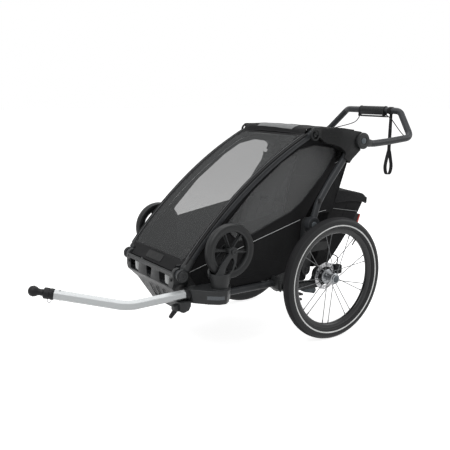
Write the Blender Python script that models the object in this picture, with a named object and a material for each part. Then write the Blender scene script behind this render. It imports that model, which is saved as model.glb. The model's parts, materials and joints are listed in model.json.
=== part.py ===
"""Single-seat child bike trailer, built as an assembly of separate pieces.

Metres, +Z up. The hitch points towards -Y and the trailer's left side is +X.
Side-view points are (y, z) pairs measured from the ground under the wheel axle,
and the whole trailer hangs on one empty that centres its length on the origin.
"""
import math

import bmesh
import bpy
from mathutils import Matrix, Vector

# Fits
GAP = 0.0003                # between faces that touch
RUNNING = 0.0004            # radial clearance of a pin in its eye
FACE_GAP = 0.0006           # between the side faces of two moving pieces

# Main wheels, 20 inch
WHEEL_RADIUS = 0.250
TYRE_SECTION = 0.047
WHEEL_X = 0.2995            # wheel centre plane
RIM_DEPTH = 0.020
RIM_WIDTH = 0.025
HUB_INNER_X = 0.2500        # inboard end of the wheel hub
HUB_OUTER_X = 0.3185        # outboard end of the wheel hub
HUB_FLANGE_R = 0.029
HUB_END_R = 0.0185
HUB_SHELL_R = 0.014
AXLE_R = 0.0062
SPOKE_R = 0.0011
SPOKE_PAIRS = 10
DISC_R = 0.057
DISC_THICKNESS = 0.002
DISC_X = 0.2535
CAP_R = 0.0125
CAP_LENGTH = 0.005

# Frame pivots, side view
FRONT_PIVOT = (-0.654, 0.339)
TOP_PIVOT = (-0.059, 0.8232)
HOOP_RISE = 0.045           # height of the front hoop's arch over its two pivots
BAR_PIVOT = (0.174, 0.7935)
KNEE_PIVOT = (-0.069, 0.4695)
LINK_PIVOT = (-0.079, 0.279)
ARM_PIVOT = (-0.190, 0.222)
BRAKE_SHAFT = (-0.135, 0.222)
ARM_KNEE = (-0.020, 0.200)  # where the suspension arm's lower edge turns up

# Frame tubes
FRAME_X = 0.204             # base side tubes and front hoop
TUBE_R = 0.014
BASE_TUBE_R = 0.0135
BASE_Z = 0.243
BASE_FRONT_Y = -0.600
BASE_REAR_Y = -0.235
BASE_CORNER = 0.055
HOOP_CORNER = 0.050
UPRIGHT_X = 0.2385
UPRIGHT_R = 0.0135
REAR_BAR = (0.121, 0.782)   # rear crossbar between the side brackets

# Side brackets
BRACKET_IN_X = 0.205
BRACKET_TIP_X = 0.2295      # outer face at the top pivot
BRACKET_OUT_X = 0.2560      # outer face over the upright
PIN_R = 0.007
PIVOT_CAP_R = 0.023
PIVOT_CAP_T = 0.0035

# Handlebar
HUB_R = 0.0335
BAR_HUB_IN_X = 0.2320
BAR_HUB_OUT_X = 0.2650
BAR_R = 0.013
NECK_R = 0.0162
BAR_NECK = 0.052            # length of the collar from the hub's centre
BAR_TOP = (0.478, 0.908)    # crossbar centre, side view
BAR_CORNER = (0.459, 0.7985)
BAR_LEAD = (0.236, 0.7785)  # where the side tube leaves its collar, side view
BAR_LEAD_X = 0.2490
BAR_DOWN = 60               # degrees that the handlebar tilts down, and up
BAR_UP = 75
GRIP_R = 0.0175
GRIP_FROM_X = -0.055
GRIP_TO_X = 0.098
LEVER_THICKNESS = 0.008
LEVER_EAR_T = 0.0055        # ears at the grip's ends that carry the brake lever
LEVER_PIN_R = 0.0016

# Knee hubs and links
KNEE_HUB_R = 0.030
KNEE_HUB_IN_X = 0.2255
KNEE_HUB_OUT_X = 0.2535
LINK_IN_X = 0.2005
LINK_OUT_X = 0.2249
LINK_TOP_R = 0.024
LINK_FOOT_R = 0.021
BAG_ARM_REACH = 0.035
BUTTON_R = 0.0125
BUTTON_LENGTH = 0.007
BUTTON_PROUD = 0.002

# Suspension
ARM_IN_X = 0.2055
ARM_OUT_X = 0.2350
CARRIER_R = 0.032
BLOCK_REACH = 0.068         # from the arm pivot to the front of the rear bracket
SHAFT_R = 0.006             # parking brake cross shaft
PLATE_IN_X = 0.178
PLATE_OUT_X = LINK_IN_X - FACE_GAP

# Base mouldings
FLOOR_T = 0.006
BUMPER_X = FRAME_X - TUBE_R - FACE_GAP
BUMPER_WALL = 0.004
CHEEK_T = 0.016
FRONT_CAP_R = 0.0195
WING_TOP_Z = 0.290
WING_LOW_Z = 0.236

# Stowed stroller wheels
STEM = (0.270, -0.530)      # plan view
STEM_R = 0.011
STEM_LOW_Z = 0.240
CROWN_LOW_R = 0.032
CROWN_TOP_R = 0.040
CROWN_TOP_Z = 0.346
CASTER_HUB = (-0.488, 0.422)
CASTER_R = 0.1013
CASTER_WIDTH = 0.034
CASTER_SPOKES = 6
FORK_LEG_T = 0.007
FORK_GAP = 0.004            # between the small tyre and each fork leg

# Hitch
HITCH_TUBE_R = 0.0165
HITCH_ROOT_Y = -0.632
RECEIVER_WALL = 0.008
LATCH = (HITCH_ROOT_Y - 0.046, 0.2235)     # pivot of the receiver's latch lever
LATCH_R = 0.009
LATCH_HALF = 0.0055         # half of the lever's thickness
COUPLER_R = 0.0195

# Fabric
SHEET_T = 0.003
SIDE_X = 0.1995             # outboard face of the side panels
COVER_X = FRAME_X + TUBE_R - GAP
ROOF_X = BRACKET_IN_X - GAP
BACK_X = 0.2000
BAG_X = 0.168
BAG_WALL = 0.003
LID_X = 0.175
SEAT_X = 0.160
SEAT_T = 0.030
SEAT_APRON_X = 0.130        # half width of the flap that ties the seat to the base frame
STRAP_R = 0.0030
CABLE_R = 0.0024

SIDES = (("left", 1), ("right", -1))


def clear_scene():
    """Remove every object that the file holds."""
    for obj in list(bpy.data.objects):
        bpy.data.objects.remove(obj, do_unlink=True)


def collection(name):
    """Make a collection linked to the scene."""
    group = bpy.data.collections.new(name)
    bpy.context.scene.collection.children.link(group)
    return group


clear_scene()
PARTS = collection("child_bike_trailer")
CUTTERS = collection("cutters")
AXES = collection("axes")

FINISHES = {
    "frame": ((0.048, 0.050, 0.053), 0.45, 0.0),
    "moulding": ((0.040, 0.041, 0.043), 0.55, 0.0),
    "fabric": ((0.013, 0.013, 0.014), 0.90, 0.0),
    "mesh": ((0.085, 0.087, 0.088), 0.85, 0.0),
    "rubber": ((0.040, 0.041, 0.042), 0.80, 0.0),
    "rim": ((0.060, 0.062, 0.064), 0.50, 0.0),
    "steel": ((0.600, 0.600, 0.600), 0.30, 1.0),
    "aluminium": ((0.720, 0.735, 0.740), 0.35, 1.0),
    "button": ((0.110, 0.125, 0.135), 0.50, 0.0),
    "webbing": ((0.020, 0.020, 0.021), 0.85, 0.0),
}


def material(name, finish):
    """One Principled material for a piece."""
    colour, roughness, metallic = FINISHES[finish]
    mat = bpy.data.materials.new(name)
    mat.use_nodes = True
    shader = mat.node_tree.nodes["Principled BSDF"]
    shader.inputs["Base Color"].default_value = (*colour, 1.0)
    shader.inputs["Roughness"].default_value = roughness
    shader.inputs["Metallic"].default_value = metallic
    mat.diffuse_color = (*colour, 1.0)
    return mat


# Bodies hang on empties that sit on their joints' axes
ANCHORS = {}


def anchor(name, point, parent=None):
    """Empty on a joint's axis. Its point is measured from under the axle."""
    empty = bpy.data.objects.new(name, None)
    empty.empty_display_size = 0.03
    AXES.objects.link(empty)
    point = Vector(point)
    if parent is None:
        empty.location = point
    else:
        empty.parent = ANCHORS[parent][0]
        empty.location = point - ANCHORS[parent][1]
    ANCHORS[name] = (empty, point)
    return name


def add(obj, finish, body):
    """Give a piece its material and hang it on its body's empty."""
    obj.data.materials.clear()
    obj.data.materials.append(material(obj.name, finish))
    empty, point = ANCHORS[body]
    obj.parent = empty
    obj.location = obj.location - point
    return obj


def from_bmesh(name, bm, group=None):
    """Turn a bmesh into an object."""
    mesh = bpy.data.meshes.new(name)
    bm.to_mesh(mesh)
    bm.free()
    obj = bpy.data.objects.new(name, mesh)
    (group or PARTS).objects.link(obj)
    return obj


def smooth(obj, degrees=35):
    """Shade smooth, with creases kept sharp."""
    obj.data.shade_smooth()
    obj.data.set_sharp_from_angle(angle=math.radians(degrees))
    return obj


def span(side, a, b):
    """Low and high x of a stretch given for the left side."""
    return tuple(sorted((side * a, side * b)))


def box(name, low, high, bevel=0.0):
    """Box from its low and high corners, with its edges cut if asked."""
    bm = bmesh.new()
    low, high = Vector(low), Vector(high)
    size = high - low
    bmesh.ops.create_cube(bm, size=1.0, matrix=Matrix.Translation((low + high) / 2)
                          @ Matrix.Diagonal((*size, 1.0)))
    if bevel:
        bmesh.ops.bevel(bm, geom=bm.edges[:], offset=bevel, segments=1,
                        affect="EDGES", profile=0.5, material=-1)
    return from_bmesh(name, bm)


def rod(name, start, end, radius, end_radius=None, segments=0):
    """Round bar or cone between two points, rounder where it is thicker."""
    start, end = Vector(start), Vector(end)
    segments = segments or (12 if radius < 0.009 else 16 if radius < 0.018 else 20)
    along = end - start
    bm = bmesh.new()
    turn = along.to_track_quat("Z", "Y").to_matrix().to_4x4()
    bmesh.ops.create_cone(bm, cap_ends=True, segments=segments, radius1=radius,
                          radius2=radius if end_radius is None else end_radius,
                          depth=along.length,
                          matrix=Matrix.Translation((start + end) / 2) @ turn)
    return from_bmesh(name, bm)


def cross_rod(name, side, x0, x1, point, radius, segments=0):
    """Round bar along X at a side-view point."""
    low, high = span(side, x0, x1)
    return rod(name, (low, *point), (high, *point), radius, segments=segments)


def rounded(points, radius, steps=4, closed=True, axes=2):
    """Row of points with its corners rounded.

    Each point has `axes` coordinates, and may carry a radius of its own after them.
    """
    route = []
    count = len(points)
    for i, point in enumerate(points):
        here = Vector(point[:axes])
        size = point[axes] if len(point) > axes else radius
        if size <= 0.0 or (not closed and i in (0, count - 1)):
            route.append(tuple(here))
            continue
        before = Vector(points[i - 1][:axes]) - here
        after = Vector(points[(i + 1) % count][:axes]) - here
        opening = before.angle(after)
        reach = min(size / math.tan(opening / 2), 0.45 * before.length, 0.45 * after.length)
        start, end = here + before.normalized() * reach, here + after.normalized() * reach
        parts = max(1, math.ceil(steps * (math.pi - opening) / (math.pi / 2)))
        for k in range(parts + 1):
            t = k / parts
            route.append(tuple(start * (1 - t) ** 2 + here * (2 * t * (1 - t)) + end * t ** 2))
    return route


def meshed(obj):
    """Make a curve a mesh, with its caps welded on."""
    graph = bpy.context.evaluated_depsgraph_get()
    graph.update()
    mesh = bpy.data.meshes.new_from_object(obj.evaluated_get(graph))
    bm = bmesh.new()
    bm.from_mesh(mesh)
    bmesh.ops.remove_doubles(bm, verts=bm.verts, dist=1e-5)
    bmesh.ops.recalc_face_normals(bm, faces=bm.faces)
    bm.to_mesh(mesh)
    bm.free()
    mesh.transform(obj.matrix_world)
    name = obj.name
    bpy.data.objects.remove(obj, do_unlink=True)
    piece = bpy.data.objects.new(name, mesh)
    PARTS.objects.link(piece)
    return piece


# Turns of a flat outline, drawn in XY, into the plane that it stands in
PLANE_TURN = {
    "YZ": Matrix(((0, 0, 1, 0), (1, 0, 0, 0), (0, 1, 0, 0), (0, 0, 0, 1))),
    "XZ": Matrix(((1, 0, 0, 0), (0, 0, -1, 0), (0, 1, 0, 0), (0, 0, 0, 1))),
    "XY": Matrix.Identity(4),
}


def plate(name, outline, plane, low, high, grow=0.0):
    """Flat outline, grown or shrunk if asked, given a thickness along its normal."""
    curve = bpy.data.curves.new(name, "CURVE")
    curve.dimensions = "2D"
    curve.fill_mode = "BOTH"
    curve.extrude = (high - low) / 2
    curve.offset = grow
    spline = curve.splines.new("POLY")
    spline.points.add(len(outline) - 1)
    for knot, (u, v) in zip(spline.points, outline):
        knot.co = (u, v, 0.0, 1.0)
    spline.use_cyclic_u = True
    obj = bpy.data.objects.new(name, curve)
    PARTS.objects.link(obj)
    middle = (low + high) / 2
    sign = -1.0 if plane == "XZ" else 1.0
    obj.matrix_world = PLANE_TURN[plane] @ Matrix.Translation((0.0, 0.0, sign * middle))
    return meshed(obj)


def side_plate(name, side, outline, x0, x1, grow=0.0):
    """Side-view outline given its thickness along X."""
    low, high = span(side, x0, x1)
    return plate(name, outline, "YZ", low, high, grow)


def tube(name, points, radius, resolution=2, cyclic=False):
    """Round tube along a row of points, with 4 sides and 2 more for each resolution."""
    curve = bpy.data.curves.new(name, "CURVE")
    curve.dimensions = "3D"
    curve.bevel_depth = radius
    curve.bevel_resolution = resolution
    curve.use_fill_caps = not cyclic
    spline = curve.splines.new("POLY")
    spline.points.add(len(points) - 1)
    for knot, point in zip(spline.points, points):
        knot.co = (*point, 1.0)
    spline.use_cyclic_u = cyclic
    obj = bpy.data.objects.new(name, curve)
    PARTS.objects.link(obj)
    return meshed(obj)


def flowing(points, steps):
    """Smooth route through the points, with some steps between each two."""
    pts = [Vector(p) for p in points]
    ends = [pts[0] * 2 - pts[1], *pts, pts[-1] * 2 - pts[-2]]
    route = []
    for i in range(1, len(ends) - 2):
        a, b, c, d = ends[i - 1:i + 3]
        for k in range(steps):
            t = k / steps
            route.append(0.5 * (2 * b + (c - a) * t + (2 * a - 5 * b + 4 * c - d) * t ** 2
                                + (3 * b - a - 3 * c + d) * t ** 3))
    return route + [pts[-1]]


def mirrored_route(corners, radius, steps=4):
    """Rounded route through the left half's corners and their mirror images."""
    both = [*corners, *[(-p[0], *p[1:]) for p in reversed(corners)]]
    return rounded(both, radius, steps, closed=False, axes=3)


def ring(name, profile, centre, segments, group=None):
    """Turned piece about the X axis through a side-view point.

    The profile is a row of (x, radius) pairs; it closes on itself when its ends
    lie off the axis.
    """
    bm = bmesh.new()
    closed = profile[0][1] > 1e-6
    knots = [bm.verts.new((x, centre[0], centre[1] + max(r, 0.0))) for x, r in profile]
    edges = [bm.edges.new(pair) for pair in zip(knots, knots[1:])]
    if closed:
        edges.append(bm.edges.new((knots[-1], knots[0])))
    bmesh.ops.spin(bm, geom=knots + edges, cent=(0.0, *centre), axis=(1.0, 0.0, 0.0),
                   angle=2 * math.pi, steps=segments, use_merge=True)
    bmesh.ops.remove_doubles(bm, verts=bm.verts, dist=1e-6)
    bmesh.ops.recalc_face_normals(bm, faces=bm.faces)
    return from_bmesh(name, bm, group)


def boolean(target, other, operation):
    """Live Boolean whose other piece is kept as a hidden cutter."""
    modifier = target.modifiers.new(operation.lower(), "BOOLEAN")
    modifier.operation = operation
    modifier.solver = "EXACT"
    modifier.object = other
    for group in list(other.users_collection):
        group.objects.unlink(other)
    CUTTERS.objects.link(other)
    other.name = "cutter_" + other.name
    other.hide_render = True
    other.display_type = "WIRE"
    return target


def fixed(target):
    """Settle a piece's Booleans into its mesh and drop their cutters."""
    cutters = [m.object for m in target.modifiers if m.type == "BOOLEAN"]
    graph = bpy.context.evaluated_depsgraph_get()
    graph.update()
    mesh = bpy.data.meshes.new_from_object(target.evaluated_get(graph))
    bm = bmesh.new()
    bm.from_mesh(mesh)
    bmesh.ops.remove_doubles(bm, verts=bm.verts, dist=2e-6)
    bmesh.ops.dissolve_degenerate(bm, edges=bm.edges, dist=2e-6)
    bm.to_mesh(mesh)
    bm.free()
    target.modifiers.clear()
    target.data = mesh
    for cutter in cutters:
        bpy.data.objects.remove(cutter, do_unlink=True)
    return target


def joined(target, *others):
    """Union of overlapping shapes, as one body."""
    for other in others:
        boolean(target, other, "UNION")
    return fixed(target)


def cut(target, *others):
    """Target with the other shapes taken out."""
    for other in others:
        boolean(target, other, "DIFFERENCE")
    return fixed(target)


def capsule(a, ra, b, rb, steps=8):
    """Outline round two circles of unlike radius, as a link plate has."""
    a, b = Vector(a), Vector(b)
    along = b - a
    base = math.atan2(along.y, along.x)
    lean = math.acos((ra - rb) / along.length)
    outline = []
    for k in range(steps + 1):
        angle = base + lean + (2 * math.pi - 2 * lean) * k / steps
        outline.append((a.x + ra * math.cos(angle), a.y + ra * math.sin(angle)))
    for k in range(steps + 1):
        angle = base - lean + 2 * lean * k / steps
        outline.append((b.x + rb * math.cos(angle), b.y + rb * math.sin(angle)))
    return outline


def towards(a, b, distance):
    """Side-view point at a distance from a on the way to b."""
    a, b = Vector(a), Vector(b)
    return tuple(a + (b - a).normalized() * distance)


# Shared routes, which bores and pieces both follow
def base_route():
    """Plan loop of the base frame."""
    corners = [(FRAME_X, BASE_FRONT_Y), (FRAME_X, BASE_REAR_Y),
               (-FRAME_X, BASE_REAR_Y), (-FRAME_X, BASE_FRONT_Y)]
    return [(x, y, BASE_Z) for x, y in rounded(corners, BASE_CORNER, steps=4)]


def rear_route():
    """Rear hoop: up one upright, through the bracket, across and down."""
    x = UPRIGHT_X
    first = towards(KNEE_PIVOT, (-0.040, 0.553), KNEE_HUB_R * 0.6)
    return mirrored_route([(x, *first), (x, -0.040, 0.553, 0.10), (x, 0.016, 0.631, 0.10),
                           (x, *REAR_BAR, 0.048)], 0.048)


def hitch_route(early=0.0):
    """Hitch arm, from inside the receiver to the coupler."""
    points = [(0.213, HITCH_ROOT_Y + early, 0.271), (0.221, -0.872, 0.268, 0.11),
              (0.088, -1.082, 0.3115)]
    return [Vector(p) for p in rounded(points, 0.11, steps=12, closed=False, axes=3)]


def bar_route(early=0.0):
    """Handlebar, from its left hub over the crossbar to the right hub."""
    x = (BAR_HUB_IN_X + BAR_HUB_OUT_X) / 2
    start = towards(BAR_PIVOT, BAR_LEAD, HUB_R * 0.75 - early)
    return mirrored_route([(x, *start), (BAR_LEAD_X, *BAR_LEAD, 0.12), (0.2520, 0.335, 0.7850, 0.0),
                           (0.2625, *BAR_CORNER, 0.032),
                           (0.1640, BAR_TOP[0] + 0.018, BAR_TOP[1] - 0.003, 0.034),
                           (0.1300, *BAR_TOP, 0.05)], 0.03)


def arch(share, lift=0.0):
    """Side-view point on the front hoop at a share of its chord, and a lift off it."""
    a, b = Vector(FRONT_PIVOT), Vector(TOP_PIVOT)
    along = (b - a).normalized()
    outward = Vector((-along.y, along.x))
    return tuple(a.lerp(b, share) + outward * (4 * HOOP_RISE * share * (1 - share) + lift))


def build_base():
    """Base frame, floor, bumper, wings, receiver and rear brackets."""
    body = anchor("trailer", (0.0, 0.0, 0.0))
    base = smooth(tube("base_frame", base_route(), BASE_TUBE_R, cyclic=True))
    add(base, "frame", body)

    floor = plate("floor_panel", [(x, y) for x, y, _ in base_route()], "XY",
                  BASE_Z - FLOOR_T / 2, BASE_Z + FLOOR_T / 2, grow=-BASE_TUBE_R - 2 * GAP)
    rear = ARM_PIVOT[0] - BLOCK_REACH - 2 * GAP
    floor = cut(floor, box("rear_space", (-0.3, rear, 0.2), (0.3, 0.0, 0.3)))
    add(floor, "fabric", body)
    build_bumper(body)
    for tag, side in SIDES:
        build_wing(body, tag, side)
        build_rear_bracket(body, tag, side)
    build_receiver(body)
    return body


def bumper_shape(name, profile, face, shrink, reach):
    """Solid where a side view and a front view of the bumper agree."""
    shape = side_plate(name, 1, profile, -reach, reach)
    front = plate(name + "_face", face, "XZ", -0.80, -0.40, grow=-shrink)
    boolean(shape, front, "INTERSECT")
    return fixed(shape)


def build_bumper(body):
    """Front moulding with its windows and the two front pivots."""
    top, beam, low = 0.345, 0.287, 0.168
    rear = BASE_FRONT_Y - BASE_TUBE_R - 3 * GAP
    wall = BUMPER_WALL
    sink = BASE_Z - BASE_TUBE_R - 0.003
    outer = [(-0.676, top), (-0.678, beam), (-0.644, 0.250), (-0.612, low + 0.006), (-0.560, low),
             (-0.560, sink), (rear, sink), (rear, top)]
    inner = [(-0.676 + wall, top + 0.05), (-0.678 + wall, beam + wall / 2),
             (-0.644 + wall, 0.250 + wall / 2), (-0.612 + wall, low + 0.006 + wall),
             (-0.560, low + wall), (-0.50, low + wall), (-0.50, top + 0.05)]
    wide = BUMPER_X
    below = [(-wide, beam + 0.016), (-0.172, beam - 0.014), (-0.160, 0.250), (-0.085, low - 0.002),
             (0.085, low - 0.002), (0.160, 0.250), (0.172, beam - 0.014), (wide, beam + 0.016)]
    face = rounded([(-wide, top, 0.008), *below, (wide, top, 0.008)], 0.010, steps=1)
    shell = bumper_shape("front_bumper", outer, face, 0.0, wide + 0.01)
    face = rounded([(-wide, top + 0.05), *below, (wide, top + 0.05)], 0.010, steps=1)
    shell = cut(shell, bumper_shape("bumper_hollow", inner, face, wall, wide))
    windows = []
    for x, half in ((-0.120, 0.040), (0.0, 0.022), (0.120, 0.040)):
        corners = [(x - half, top - 0.014), (x + half, top - 0.014),
                   (x + half - 0.007, beam + 0.004), (x - half + 0.007, beam + 0.004)]
        windows.append(plate("bumper_window", rounded(corners, 0.004, steps=1), "XZ",
                             -0.70, -0.678 + 2 * wall))
    shell = cut(shell, *windows)
    extras = []
    for _, side in SIDES:
        outline = capsule(FRONT_PIVOT, 0.024, (rear - 0.026, beam + 0.032), 0.020, 6)
        extras.append(side_plate("pivot_cheek", side, outline, wide - CHEEK_T, wide + GAP))
        cap_x = FRAME_X + TUBE_R + FACE_GAP
        extras.append(cross_rod("front_pin", side, wide - 0.005, cap_x + 0.003, FRONT_PIVOT,
                                PIN_R))
        extras.append(cross_rod("front_cap", side, cap_x, cap_x + 0.006, FRONT_PIVOT,
                                FRONT_CAP_R))
    shell = joined(shell, *extras)
    shell = cut(shell, tube("base_bore", base_route(), BASE_TUBE_R + GAP, cyclic=True))
    add(smooth(shell), "moulding", body)


def build_wing(body, tag, side):
    """Outrigger that carries a stowed stroller wheel beside the base frame."""
    inner = SIDE_X + 2 * GAP
    outline = rounded([(side * x, y, r) for x, y, r in (
        (inner, -0.560, 0.004), (0.240, -0.584, 0.03), (0.286, -0.562, 0.03),
        (0.316, -0.540, 0.02), (0.318, -0.502, 0.03), (0.285, -0.474, 0.03),
        (inner, -0.462, 0.012))], 0.02)
    wing = plate("wing_" + tag, outline, "XY", WING_LOW_Z, WING_TOP_Z)
    loop = tube("base_bore", base_route(), BASE_TUBE_R + GAP, cyclic=True)
    socket = rod("stem_bore", (side * STEM[0], STEM[1], STEM_LOW_Z - GAP),
                 (side * STEM[0], STEM[1], WING_TOP_Z + 0.01), STEM_R + RUNNING)
    wing = cut(wing, loop, socket)
    if side > 0:
        wing = cut(wing, receiver_space(2 * GAP))
    add(smooth(wing), "moulding", body)


def receiver_space(extra):
    """Outer block of the hitch receiver, grown by a clearance."""
    reach = HITCH_TUBE_R + RECEIVER_WALL + extra
    root = hitch_route()[0]
    return box("receiver_space", (root.x - reach, root.y - 0.062 - extra, 0.205 - extra),
               (root.x + reach, root.y + 0.057 + extra, root.z + reach - 0.001),
               bevel=0.0 if extra else 0.006)


def build_receiver(body):
    """Block under the left wing that holds the hitch arm, cut open over its front."""
    block = receiver_space(0.0)
    block.name = "hitch_receiver"
    root, ahead = hitch_route()[:2]
    bore = tube("arm_bore", [hitch_route(early=GAP)[0], root.lerp(ahead, 0.9)],
                HITCH_TUBE_R + RUNNING)
    loop = tube("base_bore", base_route(), BASE_TUBE_R + GAP, cyclic=True)
    reach = HITCH_TUBE_R + RECEIVER_WALL
    front_open = box("front_open", (root.x - reach - 0.01, root.y - 0.088, root.z),
                     (root.x + reach + 0.01, root.y - 0.023, root.z + reach + 0.01))
    half = LATCH_HALF + RUNNING
    slot = box("latch_slot", (root.x - half, root.y - 0.088, 0.19),
               (root.x + half, LATCH[0] + LATCH_R + 0.001, LATCH[1] + LATCH_R + 0.001))
    under_wing = box("under_wing", (root.x - reach - 0.01, root.y - 0.004, 0.19),
                     (root.x + reach + 0.01, root.y + 0.082, WING_LOW_Z - 0.004))
    block = cut(block, bore, loop, front_open, slot, under_wing)
    add(smooth(block), "moulding", body)


def build_rear_bracket(body, tag, side):
    """Bracket on the base frame's rear corner, with its link and arm pivots."""
    front = ARM_PIVOT[0] - BLOCK_REACH
    block = side_plate("rear_bracket_" + tag, side, rounded(
        [(front, 0.198), (front + 0.040, 0.198), (front + 0.040, 0.272), (front, 0.272)],
        0.007, steps=2), PLATE_IN_X, ARM_OUT_X + 0.005)
    web = side_plate("bracket_web", side, rounded(
        [(front + 0.002, 0.208), (ARM_PIVOT[0] + 0.03, 0.200), (LINK_PIVOT[0] + 0.02, 0.232),
         (LINK_PIVOT[0] + 0.024, 0.262), (LINK_PIVOT[0] - 0.03, 0.288), (front + 0.002, 0.262)],
        0.012, steps=2), PLATE_IN_X + 0.002, PLATE_OUT_X - GAP)
    boss = cross_rod("link_boss", side, PLATE_IN_X + 0.001, PLATE_OUT_X, LINK_PIVOT, LINK_FOOT_R)
    link_pin = cross_rod("link_pin", side, PLATE_OUT_X - 0.004, LINK_OUT_X - 0.004,
                         LINK_PIVOT, PIN_R)
    arm_pin = cross_rod("arm_pin", side, PLATE_OUT_X - 0.005, ARM_OUT_X + 0.003,
                        ARM_PIVOT, PIN_R)
    bracket = joined(block, web, boss, link_pin, arm_pin)
    loop = tube("base_bore", base_route(), BASE_TUBE_R + GAP, cyclic=True)
    bore = cross_rod("shaft_bore", side, PLATE_IN_X - 0.01, PLATE_OUT_X - 0.006, BRAKE_SHAFT,
                     SHAFT_R + RUNNING)
    add(smooth(cut(bracket, loop, bore)), "moulding", body)


def build_pedal():
    """Parking brake: a cross shaft in the rear brackets with a toe pedal."""
    body = anchor("pedal_axis", (0.0, *BRAKE_SHAFT), "trailer")
    end = PLATE_OUT_X - 0.006 - GAP
    pedal = rod("parking_pedal", (-end, *BRAKE_SHAFT), (end, *BRAKE_SHAFT), SHAFT_R)
    lever = side_plate("pedal_lever", 1, rounded(
        [(-0.147, 0.234), (-0.125, 0.234), (-0.085, 0.172), (-0.048, 0.163), (-0.048, 0.154),
         (-0.088, 0.158), (-0.094, 0.150), (-0.052, 0.142), (-0.052, 0.133), (-0.106, 0.138),
         (-0.147, 0.205)], 0.003, steps=1), 0.148, 0.176)
    add(smooth(joined(pedal, lever)), "moulding", body)


def build_front_frame():
    """Arched front hoop with its pivot eyes, and the cover stretched over it."""
    body = anchor("front_frame_axis", (0.0, *FRONT_PIVOT), "trailer")
    x = FRAME_X
    shares = [0.020] + [k / 7 for k in range(1, 7)]
    corners = [(x, *arch(share), 0.0) for share in shares] + [(x, *TOP_PIVOT, HOOP_CORNER)]
    hoop = tube("front_hoop", mirrored_route(corners, HOOP_CORNER, steps=5), TUBE_R)
    extras, bores = [], []
    for _, side in SIDES:
        low, high = BUMPER_X + FACE_GAP, x + TUBE_R
        extras.append(cross_rod("front_eye", side, low, high, FRONT_PIVOT, 0.019))
        bores.append(cross_rod("front_bore", side, low - 0.01, high + 0.01, FRONT_PIVOT,
                               PIN_R + RUNNING))
        extras.append(cross_rod("top_eye", side, x - HOOP_CORNER, high - GAP, TOP_PIVOT, 0.0165))
        bores.append(cross_rod("top_bore", side, x - 0.012, high + 0.01, TOP_PIVOT,
                               PIN_R + RUNNING))
    add(smooth(cut(joined(hoop, *extras), *bores)), "frame", body)
    build_cover(body)
    return body


def build_cover(body):
    """Front cover: a sheet over the front hoop, curved as the hoop is."""
    lift = TUBE_R + 4 * GAP
    shares = [0.042, *[k / 8 for k in range(1, 8)], 0.975]
    under = [arch(share, lift) for share in shares]
    over = [arch(share, lift + SHEET_T) for share in reversed(shares)]
    add(side_plate("front_cover", 1, under + over, -COVER_X, COVER_X), "mesh", body)


def build_rear_frame():
    """Side brackets, rear hoop, roof, back panel, cargo bag and knee hubs."""
    body = anchor("rear_frame_axis", (0.0, *TOP_PIVOT), "front_frame_axis")
    hoop = tube("rear_hoop", rear_route(), UPRIGHT_R)
    hubs, bores = [], []
    for _, side in SIDES:
        hubs.append(cross_rod("knee_hub", side, KNEE_HUB_IN_X, KNEE_HUB_OUT_X, KNEE_PIVOT,
                              KNEE_HUB_R))
        bores.append(cross_rod("button_recess", side,
                               KNEE_HUB_OUT_X + BUTTON_PROUD - BUTTON_LENGTH - 0.0035,
                               KNEE_HUB_OUT_X + 0.01, KNEE_PIVOT, BUTTON_R + RUNNING))
    add(smooth(cut(joined(hoop, *hubs), *bores)), "frame", body)
    for tag, side in SIDES:
        build_bracket(body, tag, side)
        build_button("knee_button_" + tag, side, KNEE_PIVOT, KNEE_HUB_OUT_X, body)
    build_roof(body)
    build_back_panel(body)
    build_bag(body)
    return body


def build_button(name, side, point, face_x, parent):
    """Round push button that stands a little proud of its hub."""
    body = anchor(name + "_axis", (side * face_x, *point), parent)
    outer = face_x + BUTTON_PROUD
    button = cross_rod(name, side, outer - BUTTON_LENGTH, outer, point, BUTTON_R)
    add(smooth(button), "button", body)


def neck_swing(reach):
    """Side-view outline of the space that the handlebar's collars sweep."""
    pivot = Vector(BAR_PIVOT)
    rest = Vector(BAR_LEAD) - pivot
    rest = math.atan2(rest.y, rest.x)
    half = NECK_R + 2 * RUNNING
    outline = []
    steps = 6
    for k in range(steps + 1):
        angle = rest + math.radians(-BAR_DOWN + (BAR_DOWN + BAR_UP) * k / steps)
        along = Vector((math.cos(angle), math.sin(angle)))
        across = Vector((-along.y, along.x))
        if k == 0:
            outline += [pivot - across * half, pivot - across * half + along * reach]
        outline.append(pivot + along * (reach + half))
        if k == steps:
            outline += [pivot + across * half + along * reach, pivot + across * half]
    return [tuple(point) for point in outline]


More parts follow.
